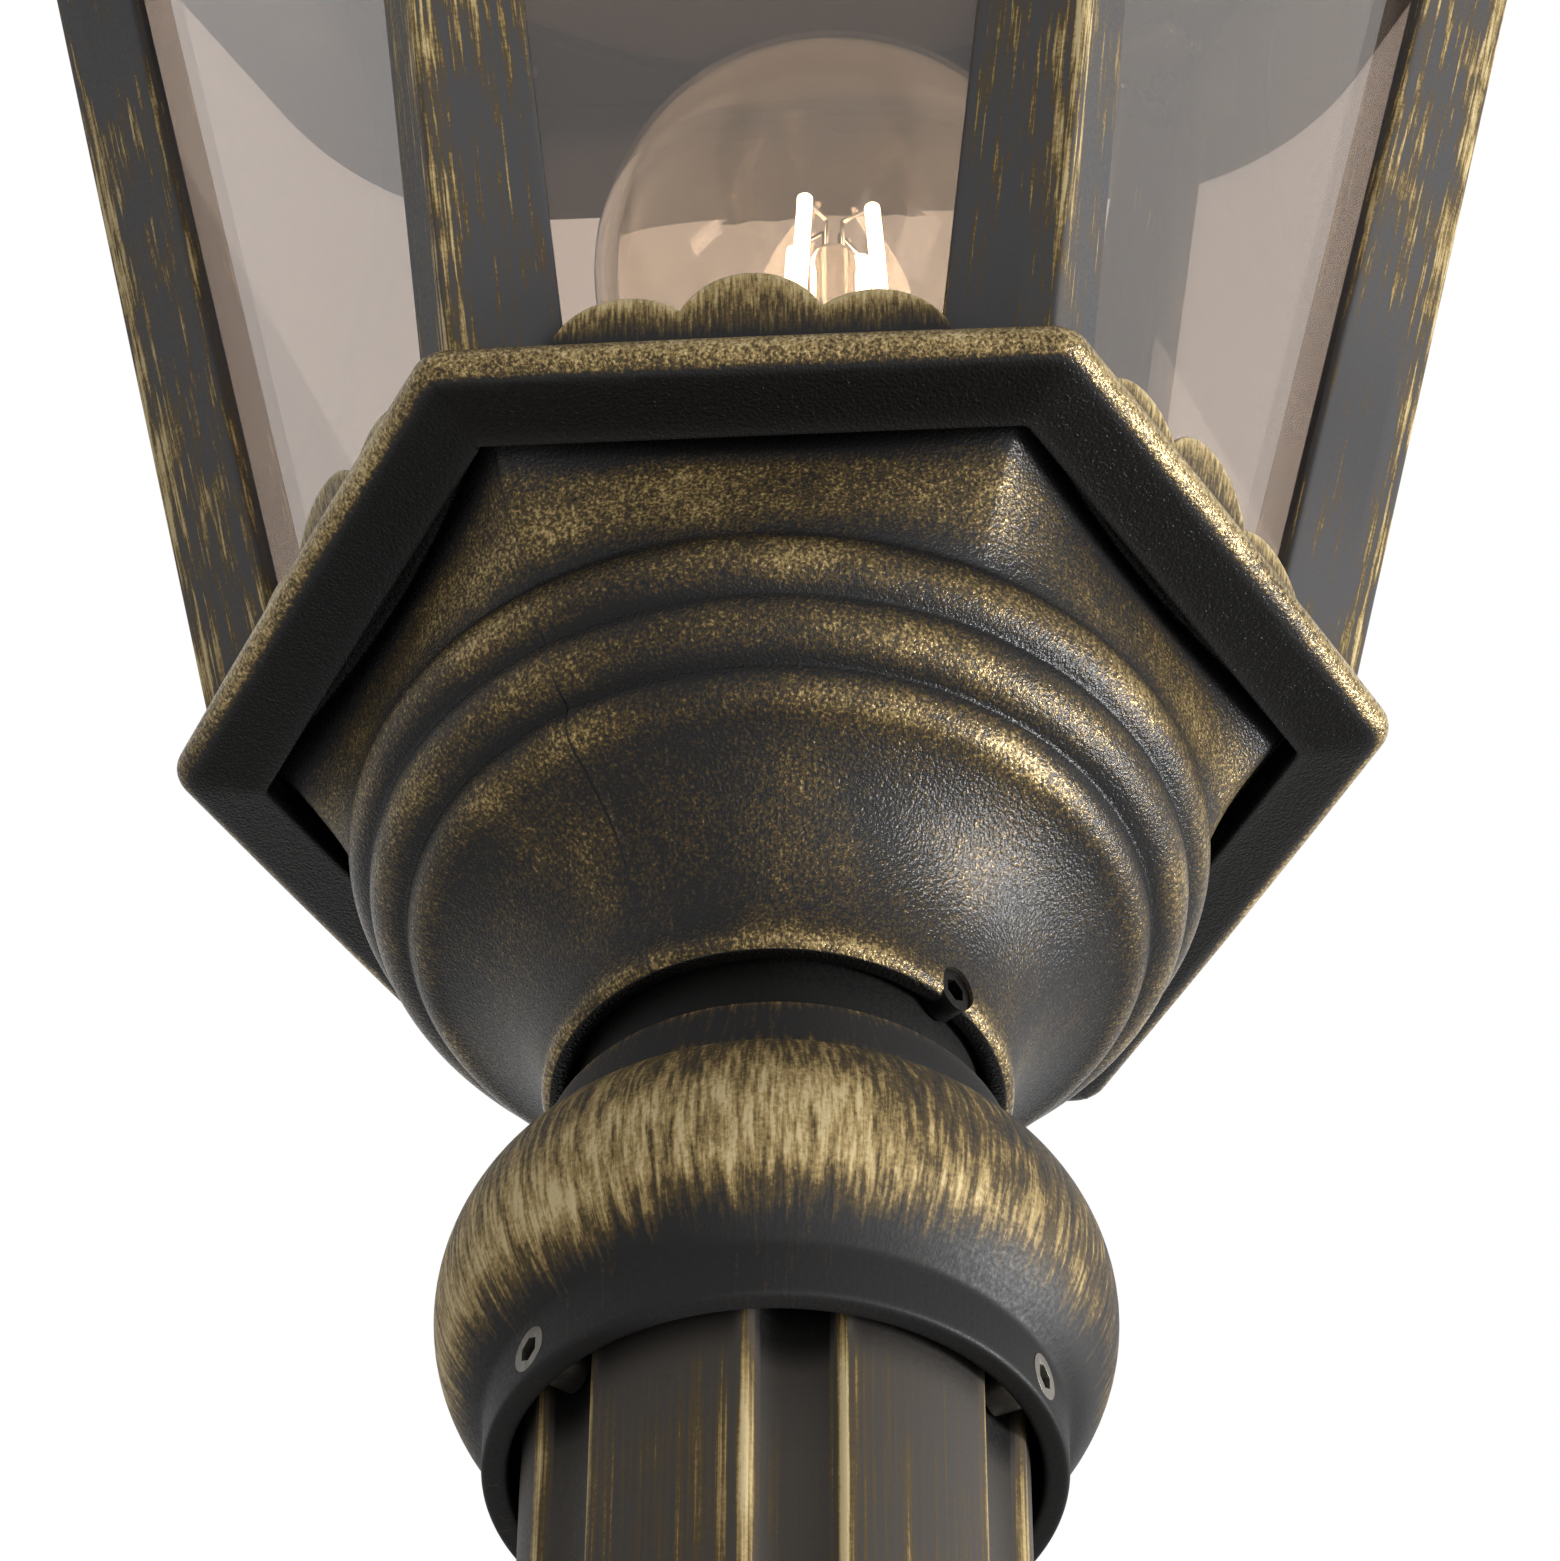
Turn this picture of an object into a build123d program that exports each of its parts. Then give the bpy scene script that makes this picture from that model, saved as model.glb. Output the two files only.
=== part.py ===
from build123d import *
import math
import os

# Lamp post: a six-sided glazed lantern on a fluted pole with a cast foot.
# Millimetres, +Z up. The origin is the centre of the foot's underside, and the
# lantern's front pane faces -Y. Heights inside the head are measured from the
# lower face of its hexagonal flange.

# Pole
POLE_LENGTH = 812.0
POLE_R = 26.4
POLE_BORE_R = 21.5
FLUTES = 6
FLUTE_R = 6.2
FLUTE_DEPTH = 2.6
FLUTE_EDGE_R = 0.6
FLUTE_TURN = 7.7

# Foot casting
FOOT_R = 84.0
FOOT_LEDGE_H = 9.0
FOOT_LEDGE_ROUND = 4.0
FOOT_STEP_R = 56.0
FOOT_STEP_H = 4.0
FOOT_ROLL_R = 8.0
FOOT_FILLET_R = 45.0
FOOT_FILLET_H = 3.0
FOOT_COVE_SAG = 3.0
FOOT_HEIGHT = 66.0
FOOT_BAND_H = 13.0
FOOT_BAND_WALL = 6.5
FOOT_CAVITY_R = 46.0
FOOT_CAVITY_H = 8.0
FOOT_SEAT_T = 6.0
FOOT_SLACK = 0.15
CABLE_HOLE_R = 12.0
FIXING_CIRCLE_R = 68.0
FIXING_HOLE_R = 4.5
FIXING_COUNT = 3
FIXING_TURN = 30.0
FOOT_SCREW_R = 3.0
FOOT_SCREW_DROP = 6.0

# Ball collar on top of the pole
COLLAR_SOCKET_DEPTH = 30.0
COLLAR_SLACK = 1.3
SLEEVE_WALL = 2.8
SLEEVE_H = 7.0
BALL_R = 36.3
BALL_MID_H = 20.0
BALL_TOP_R = 28.5
BALL_TOP_H = 36.0
COLLAR_RIM_R = 25.6
COLLAR_RIM_H = 44.5
SPIGOT_R = 22.2
SPIGOT_BORE_R = 15.0
SPIGOT_LENGTH = 38.0
SPIGOT_CHAMFER = 1.0
COLLAR_SCREW_R = 2.5
COLLAR_SCREW_H = 3.6

# Head casting: neck, bell, two rings, spandrels and hexagonal flange
NECK_SLACK = 0.4
NECK_SEAT_GAP = 0.3
NECK_BORE_DEPTH = 30.6
LIP_WALL = 3.5
LIP_ROUND_H = 1.8
NECK_DROP = 53.8
BELL_FOOT_H = 4.2
BELL_WAIST_R = 29.6
BELL_WAIST_DROP = 40.0
BELL_TOP_R = 38.5
BELL_TOP_DROP = 32.0
SHOULDER_R = 42.0
SHOULDER_DROP = 27.1
LOWER_RING_R = 46.3
LOWER_RING_DROP = 20.6
UPPER_RING_R = 48.3
UPPER_RING_DROP = 13.3
RING_BULGE = 2.0
SHOULDER_BULGE = 1.3
FLANGE_R = 71.7
FLANGE_CORNER_R = 4.0
RIM_ROUND = 2.5
RIM_STEPS = 6
RECESS_R = 60.1
RECESS_DROP = 1.8
RECESS_CEILING_H = 3.0
SPANDREL_WAIST_R = 49.0
PAD_R = 61.5
PAD_H = 1.0
PASSAGE_R = 12.0
NECK_FLOOR_T = 4.0
WIRING_R = 38.0
TRAY_R = 44.0
TRAY_SLACK = 0.3
TRAY_H = 1.5
TRAY_T = 1.5
NECK_SCREW_R = 2.5
NECK_SCREW_DROP = 51.8
NECK_SCREW_SINK = 0.6
NECK_SCREW_ANGLE = -38.0
NECK_SCREW_COUNT = 2

# Lantern cage
SIDES = 6
RIDGE_R = 65.5
LEAN = 0.2227
CAGE_TOP_H = 250.0
BAR_W = 13.8
BAR_T = 3.0
BAR_ROUND = 1.6
TAB_T = 3.0
TAB_LENGTH = 18.0
TAB_HALF = 6.0
TAB_BITE = 1.0
TAB_SCREW_IN = 12.5
GLASS_T = 3.0
PANE_LAP = 3.5
PANE_TOP_GAP = 0.3
STRIP_T = 2.8
STRIP_GAP = 0.05
STRIP_LAP = 2.2
STRIP_END_H = 4.7
LOBE_VALLEY_X = 7.9
LOBE_VALLEY_H = 8.0
SIDE_LOBE_H = 10.0
MID_LOBE_H = 13.1
FRAME_OVERHANG = 1.425
FRAME_T = 4.0
FRAME_W = 27.6
VALANCE_H = 10.0
VALANCE_GAP = 0.15
CLIP_T = 1.2
CLIP_LEG = 6.0
CLIP_LENGTH = 14.0
CLIP_LOW_RISE = 11.0
CLIP_TOP_DROP = 14.0

# Small fasteners: shank radius, head radius and head height, then what their drives take of them
M3 = (1.5, 2.8, 2.0)
M4 = (2.0, 3.8, 2.4)
SOCKET_SHARE = 0.58
SLOT_SHARE = 0.3
HEX_COUNT = 6
SET_SCREWS = 3
FOOT_SCREW_LENGTH = 9.0
CLIP_SCREW_BITE = 2.4
TRAY_SCREW_LENGTH = 6.0
TRAY_SCREW_COUNT = 3
TRAY_SCREW_EDGE = 3.0

# Lampholder and wiring
LAMP_X = 6.5
HOLDER_R = 20.0
HOLDER_FOOT_R = 22.0
HOLDER_FOOT_H = 4.0
HOLDER_DROP = 1.0
HOLDER_ROUND = 2.0
HOLDER_FLOOR_T = 6.0
SHELL_T = 0.4
SHELL_DROP = 2.0
CAP_SLACK = 0.35
CONTACT_LENGTH = 18.0
CONTACT_W = 6.0
CONTACT_T = 0.6
CONTACT_GAP = 0.4
NIPPLE_R = 5.0
NIPPLE_BORE_R = 3.6
NIPPLE_DROP = 7.0
NUT_R = 8.0
NUT_H = 4.0
BLOCK_LENGTH = 26.0
BLOCK_W = 20.0
BLOCK_H = 12.0
BLOCK_ROUND = 1.5
BLOCK_X = -18.0
BLOCK_POLES = 3
BLOCK_SCREW_R = 2.0
BLOCK_SCREW_DEPTH = 3.0
BLOCK_SCREW_SINK = 0.6
LEAD_R = 0.9
LEAD_Y = 1.6
LEAD_RISE = 6.2
LEAD_BEND_R = 5.0
EARTH_X = -16.0
EARTH_Y = 24.0
EARTH_TAG_R = 3.8
EARTH_TAG_T = 0.8
EARTH_BARREL_R = 1.5
EARTH_BARREL_L = 5.0
EARTH_SCREW_DEPTH = 3.0

# Lamp: a clear globe bulb with an E27 cap
GLOBE_R = 30.5
GLOBE_H = 88.0
GLOBE_WALL = 0.8
GLOBE_TANGENT_DEG = -35.0
BULB_NECK_R = 14.0
BULB_NECK_RISE = 5.0
CAP_R = 13.1
CAP_H = 26.0
CAP_WALL = 0.7
CAP_THREADS = 5
CAP_PITCH = 3.6
CAP_THREAD_DEPTH = 0.7
CAP_TIP_H = 1.2
CAP_TIP_R = 4.8
INSULATOR_H = 2.8
STEM_R = 3.0
STEM_RISE = 14.0
STEM_SAG = 1.5
STEM_TOP_H = 92.0
FILAMENTS = 4
FILAMENT_R = 1.0
FILAMENT_LENGTH = 34.0
FILAMENT_LOW_R = 8.2
FILAMENT_TOP_R = 6.2
FILAMENT_TOP_H = 96.5
FILAMENT_TURN = 12.0
WIRE_R = 0.3

# Roof, carried by the cage's top frame
ROOF_GAP = 0.3
BRIM_OVERHANG = 23.4
BRIM_T = 3.5
ROOF_ROUND_SHARE = 0.33
ROOF_WALL = 3.0
SWEEP_INSET = 6.6
SWEEP_TOP_R = 50.0
SWEEP_SAG = 9.0
SWEEP_STEPS = 8
DRUM_R = 48.5
DRUM_BASE_H = 52.0
DRUM_H = 4.0
CROWN_R = 15.0
CROWN_BASE_H = 84.0
CROWN_H = 6.0
DOME_SAG = 7.0
ROOF_SCREW_INSET = 7.5
ROOF_SCREW_COUNT = 3
ROOF_SCREW_SLACK = 0.3
STUD_R = 3.0
STUD_SLACK = 0.1
STUD_TAIL = 7.0
STUD_NUT_R = 5.8
STUD_NUT_H = 5.0
FINIAL_BASE_R = 11.0
FINIAL_BASE_H = 3.0
FINIAL_NECK_R = 5.0
FINIAL_NECK_H = 8.0
FINIAL_BALL_R = 9.0
FINIAL_HEIGHT = 46.0
FINIAL_TIP_R = 1.5
FINIAL_THREAD = 14.0
SPIKE_SAG = 2.0

# Heights that follow from the sizes above
POLE_SEAT_Z = FOOT_CAVITY_H + FOOT_SEAT_T
POLE_TOP_Z = POLE_SEAT_Z + POLE_LENGTH
COLLAR_Z = POLE_TOP_Z - COLLAR_SOCKET_DEPTH
SPIGOT_TOP_Z = COLLAR_Z + COLLAR_RIM_H + SPIGOT_LENGTH
NECK_SEAT_Z = SPIGOT_TOP_Z + NECK_SEAT_GAP
LIP_Z = NECK_SEAT_Z - NECK_BORE_DEPTH
FLANGE_Z = LIP_Z + NECK_DROP
DECK_H = 2 * RIM_ROUND
CAGE_FOOT_H = DECK_H + PAD_H
NECK_FLOOR_Z = NECK_SEAT_Z + NECK_FLOOR_T
TRAY_TOP_Z = FLANGE_Z + TRAY_H + TRAY_T
HOLDER_FLOOR_Z = TRAY_TOP_Z + HOLDER_FLOOR_T
BULB_TIP_Z = HOLDER_FLOOR_Z + CONTACT_T + CONTACT_GAP
CAP_Z = BULB_TIP_Z + CAP_TIP_H + INSULATOR_H
CAP_TOP_Z = CAP_Z + CAP_H
HOLDER_TOP_Z = CAP_TOP_Z - HOLDER_DROP
GLOBE_Z = FLANGE_Z + GLOBE_H
FRAME_TOP_Z = FLANGE_Z + CAGE_TOP_H + FRAME_T
ROOF_Z = FRAME_TOP_Z + ROOF_GAP
CROWN_TOP_Z = ROOF_Z + CROWN_BASE_H + CROWN_H
CROWN_UNDER_Z = ROOF_Z + CROWN_BASE_H - ROOF_WALL
CLIP_HEIGHTS = (CAGE_FOOT_H + CLIP_LOW_RISE, CAGE_TOP_H - CLIP_TOP_DROP)

# Radii that follow from the sizes above
FLUTE_FLOOR_R = POLE_R - FLUTE_DEPTH
FOOT_BORE_R = POLE_R + FOOT_SLACK
FOOT_BAND_R = FOOT_BORE_R + FOOT_BAND_WALL
COLLAR_BORE_R = POLE_R + COLLAR_SLACK
SLEEVE_R = COLLAR_BORE_R + SLEEVE_WALL
NECK_BORE_R = SPIGOT_R + NECK_SLACK
LIP_R = NECK_BORE_R + LIP_WALL
FRAME_R = RIDGE_R + LEAN * CAGE_TOP_H + FRAME_OVERHANG
FRAME_HOLE_R = FRAME_R - FRAME_W
BRIM_R = FRAME_R + BRIM_OVERHANG
SWEEP_R = FRAME_R - SWEEP_INSET
ROOF_SCREW_CIRCLE_R = FRAME_R - ROOF_SCREW_INSET

# The lantern's sides lean outwards. The bars are right angles set at the six
# corners, and the glass lies against the inner ends of their legs.
HALF_SIDE = 180 / SIDES
HALF_ANGLE = math.radians(HALF_SIDE)
BAR_LEAN = math.atan(LEAN)
FACE_LEAN = math.atan(LEAN * math.cos(HALF_ANGLE))
FACE_TURN = math.acos(math.cos(FACE_LEAN) ** 2 * math.cos(2 * HALF_ANGLE) + math.sin(FACE_LEAN) ** 2)
HALF_FOLD = math.pi / 2 - FACE_TURN / 2
EDGE_SKEW = math.atan(LEAN * math.sin(HALF_ANGLE) * math.cos(FACE_LEAN))
LEG = math.sqrt(0.5)
LEG_END_U = LEG * (BAR_W + BAR_T)
LEG_END_V = LEG * (BAR_W - BAR_T)
GLASS_SET = LEG_END_U * math.sin(HALF_FOLD) - LEG_END_V * math.cos(HALF_FOLD)
GLASS_EDGE = LEG_END_U * math.cos(HALF_FOLD) + LEG_END_V * math.sin(HALF_FOLD)
LEG_TIP = LEG * BAR_W * (math.cos(HALF_FOLD) + math.sin(HALF_FOLD))
LEG_TIP_SET = LEG * BAR_W * (math.sin(HALF_FOLD) - math.cos(HALF_FOLD))
STRIP_SET = LEG_TIP_SET - STRIP_LAP * math.tan(HALF_FOLD - math.pi / 4) - STRIP_GAP
CORNER_ANGLES = [2 * HALF_SIDE * k for k in range(SIDES)]
FACE_ANGLES = [2 * HALF_SIDE * (k + 0.5) for k in range(SIDES)]


def save(piece, label):
    piece.part.label = label
    export_step(piece.part, f"parts/{label}.step")


def ridge_at(height):
    """Radius of the corner ridge at a height above the flange."""
    return RIDGE_R + LEAN * height


def tab_tip_at(height):
    return ridge_at(height) - BAR_T / LEG + TAB_BITE


def polar(radius, degrees, z):
    angle = math.radians(degrees)
    return (radius * math.cos(angle), radius * math.sin(angle), z)


def radial_plane(radius, degrees, z):
    """A plane square to a radius, facing outwards."""
    return Plane(origin=polar(radius, degrees, z), x_dir=(0, 0, 1), z_dir=polar(1, degrees, 0))


def bar_plane(degrees, height):
    """Cross-section plane of a corner bar: local x outwards, local z up the bar."""
    x_dir = polar(math.cos(BAR_LEAN), degrees, -math.sin(BAR_LEAN))
    z_dir = polar(math.sin(BAR_LEAN), degrees, math.cos(BAR_LEAN))
    return Plane(origin=polar(ridge_at(height), degrees, FLANGE_Z + height), x_dir=x_dir, z_dir=z_dir)


def face_plane(degrees, inset):
    """A plane parallel to a lantern side, set in from its outer corners: local y up the side."""
    z_dir = polar(math.cos(FACE_LEAN), degrees, -math.sin(FACE_LEAN))
    origin = polar(RIDGE_R * math.cos(HALF_ANGLE), degrees, FLANGE_Z)
    return Plane(origin=origin, x_dir=polar(1, degrees + 90, 0), z_dir=z_dir).offset(-inset)


def up_the_face(height, inset):
    """Local y of a height above the flange on a plane from face_plane."""
    return (height - inset * math.sin(FACE_LEAN)) / math.cos(FACE_LEAN)


def face_half_width(y, edge):
    """Half width of a side at local y, less what its edges are set in by."""
    return (RIDGE_R + LEAN * math.cos(FACE_LEAN) * y) * math.sin(HALF_ANGLE) - edge / math.cos(EDGE_SKEW)


def trim(low, high):
    """Cut the current piece off level at two heights above the flange."""
    split(bisect_by=Plane.XY.offset(FLANGE_Z + low), keep=Keep.TOP)
    split(bisect_by=Plane.XY.offset(FLANGE_Z + high), keep=Keep.BOTTOM)


def bulged(start, end, bulge):
    """Middle point of an arc from start to end that swells to the right of its path."""
    dx = end[0] - start[0]
    dy = end[1] - start[1]
    length = math.hypot(dx, dy)
    return ((start[0] + end[0]) / 2 + bulge * dy / length, (start[1] + end[1]) / 2 - bulge * dx / length)


def flute_angle(number):
    """Direction of a flute in degrees. Number 0 is near the front."""
    return 360 / FLUTES * number - 90 + FLUTE_TURN


def flute_seat(radius):
    """Radius at which a flat screw tip meets the sides of a flute."""
    return FLUTE_FLOOR_R + FLUTE_R - math.sqrt(FLUTE_R**2 - radius**2)


def grub_screws(planes, radius, length, label):
    """Socket set screws whose outer ends lie on the given planes."""
    socket_r = radius * SOCKET_SHARE
    with BuildPart() as screws:
        for plane in planes:
            with BuildSketch(plane):
                Circle(radius)
            extrude(amount=-length)
            with BuildSketch(plane):
                RegularPolygon(socket_r, HEX_COUNT)
            extrude(amount=-radius, mode=Mode.SUBTRACT)
    save(screws, label)


def headed_screws(planes, size, length, label):
    """Slotted cheese-head screws whose heads stand on the given planes."""
    shank_r, head_r, head_h = size
    slot_w = head_r * SLOT_SHARE
    with BuildPart() as screws:
        for plane in planes:
            with BuildSketch(plane):
                Circle(shank_r)
            extrude(amount=-length)
            with BuildSketch(plane):
                Circle(head_r)
            extrude(amount=head_h)
            with BuildSketch(plane.offset(head_h)):
                Rectangle(2 * head_r, slot_w)
            extrude(amount=-head_h / 2, mode=Mode.SUBTRACT)
    save(screws, label)


os.makedirs("parts", exist_ok=True)

# Foot: a round casting, hollow below, with a socket for the pole and fixing holes in its ledge
foot_screw_z = FOOT_HEIGHT - FOOT_SCREW_DROP
screw_angles = [flute_angle(round(FLUTES * (k + 0.5) / SET_SCREWS)) for k in range(SET_SCREWS)]
ledge_edge = (FOOT_R - FOOT_LEDGE_ROUND, FOOT_LEDGE_H)
roll_low = (FOOT_STEP_R, FOOT_LEDGE_H + FOOT_STEP_H)
roll_top = (FOOT_STEP_R - FOOT_ROLL_R, roll_low[1] + FOOT_ROLL_R)
cove_low = (FOOT_FILLET_R, roll_top[1] + FOOT_FILLET_H)
cove_top = (FOOT_BAND_R, FOOT_HEIGHT - FOOT_BAND_H)
with BuildPart() as foot:
    with BuildSketch(Plane.XZ):
        with BuildLine():
            Polyline((FOOT_CAVITY_R, 0), (FOOT_R, 0), (FOOT_R, FOOT_LEDGE_H - FOOT_LEDGE_ROUND))
            RadiusArc((FOOT_R, FOOT_LEDGE_H - FOOT_LEDGE_ROUND), ledge_edge, -FOOT_LEDGE_ROUND)
            Polyline(ledge_edge, (FOOT_STEP_R, FOOT_LEDGE_H), roll_low)
            RadiusArc(roll_low, roll_top, -FOOT_ROLL_R)
            Polyline(roll_top, (FOOT_FILLET_R, roll_top[1]), cove_low)
            ThreePointArc(cove_low, bulged(cove_low, cove_top, -FOOT_COVE_SAG), cove_top)
            Polyline(
                cove_top,
                (FOOT_BAND_R, FOOT_HEIGHT),
                (FOOT_BORE_R, FOOT_HEIGHT),
                (FOOT_BORE_R, POLE_SEAT_Z),
                (CABLE_HOLE_R, POLE_SEAT_Z),
                (CABLE_HOLE_R, FOOT_CAVITY_H),
                (FOOT_CAVITY_R, FOOT_CAVITY_H),
                (FOOT_CAVITY_R, 0),
            )
        make_face()
    revolve(axis=Axis.Z)
    with BuildSketch(Plane.XY):
        with PolarLocations(FIXING_CIRCLE_R, FIXING_COUNT, start_angle=FIXING_TURN):
            Circle(FIXING_HOLE_R)
    extrude(amount=FOOT_LEDGE_H, mode=Mode.SUBTRACT)
    for angle in screw_angles:
        with BuildSketch(radial_plane(FLUTE_FLOOR_R, angle, foot_screw_z)):
            Circle(FOOT_SCREW_R)
        extrude(amount=FOOT_BAND_R, mode=Mode.SUBTRACT)
save(foot, "foot_casting")
grub_screws(
    [radial_plane(FOOT_BAND_R, angle, foot_screw_z) for angle in screw_angles],
    FOOT_SCREW_R,
    FOOT_BAND_R - flute_seat(FOOT_SCREW_R),
    "foot_grub_screws",
)

# Pole: an extruded tube with concave flutes
with BuildPart() as pole:
    with BuildSketch(Plane.XY.offset(POLE_SEAT_Z)) as section:
        Circle(POLE_R)
        with PolarLocations(FLUTE_FLOOR_R + FLUTE_R, FLUTES, start_angle=flute_angle(0)):
            Circle(FLUTE_R, mode=Mode.SUBTRACT)
        fillet(section.vertices(), FLUTE_EDGE_R)
        Circle(POLE_BORE_R, mode=Mode.SUBTRACT)
    extrude(amount=POLE_LENGTH)
save(pole, "fluted_pole")

# Ball collar: socket for the pole below, ball, rim and the spigot that carries the head
collar_screw_z = COLLAR_Z + COLLAR_SCREW_H
sleeve_top = (SLEEVE_R, COLLAR_Z + SLEEVE_H)
ball_top = (BALL_TOP_R, COLLAR_Z + BALL_TOP_H)
rim = (COLLAR_RIM_R, COLLAR_Z + COLLAR_RIM_H)
with BuildPart() as collar:
    with BuildSketch(Plane.XZ):
        with BuildLine():
            Polyline((COLLAR_BORE_R, COLLAR_Z), (SLEEVE_R, COLLAR_Z), sleeve_top)
            ThreePointArc(sleeve_top, (BALL_R, COLLAR_Z + BALL_MID_H), ball_top)
            Polyline(
                ball_top,
                rim,
                (SPIGOT_R, rim[1]),
                (SPIGOT_R, SPIGOT_TOP_Z - SPIGOT_CHAMFER),
                (SPIGOT_R - SPIGOT_CHAMFER, SPIGOT_TOP_Z),
                (SPIGOT_BORE_R, SPIGOT_TOP_Z),
                (SPIGOT_BORE_R, POLE_TOP_Z),
                (COLLAR_BORE_R, POLE_TOP_Z),
                (COLLAR_BORE_R, COLLAR_Z),
            )
        make_face()
    revolve(axis=Axis.Z)
    for angle in screw_angles:
        with BuildSketch(radial_plane(FLUTE_FLOOR_R, angle, collar_screw_z)):
            Circle(COLLAR_SCREW_R)
        extrude(amount=BALL_R, mode=Mode.SUBTRACT)
save(collar, "ball_collar")
grub_screws(
    [radial_plane(SLEEVE_R, angle, collar_screw_z) for angle in screw_angles],
    COLLAR_SCREW_R,
    SLEEVE_R - flute_seat(COLLAR_SCREW_R),
    "collar_grub_screws",
)

# Head casting
lip_in = (NECK_BORE_R, LIP_Z + LIP_ROUND_H)
lip_out = (LIP_R, LIP_Z + LIP_ROUND_H)
bell_foot = (LIP_R, LIP_Z + BELL_FOOT_H)
bell_top = (BELL_TOP_R, FLANGE_Z - BELL_TOP_DROP)
shoulder = (SHOULDER_R, FLANGE_Z - SHOULDER_DROP)
lower_ring = (LOWER_RING_R, FLANGE_Z - LOWER_RING_DROP)
upper_ring = (UPPER_RING_R, FLANGE_Z - UPPER_RING_DROP)
neck_screw_z = FLANGE_Z - NECK_SCREW_DROP
neck_screw_angles = [NECK_SCREW_ANGLE + 360 / NECK_SCREW_COUNT * k for k in range(NECK_SCREW_COUNT)]
rim_turns = [math.pi * (k / RIM_STEPS - 0.5) for k in range(RIM_STEPS + 1)]
flange_sections = [(RECESS_R, -RECESS_DROP)]
for turn in rim_turns:
    corner = FLANGE_R - RIM_ROUND + RIM_ROUND * math.cos(turn)
    flange_sections.append((corner, RIM_ROUND + RIM_ROUND * math.sin(turn)))
tab_screw_r = tab_tip_at(CAGE_FOOT_H) - TAB_SCREW_IN
tray_screw_r = TRAY_R - TRAY_SCREW_EDGE
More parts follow.
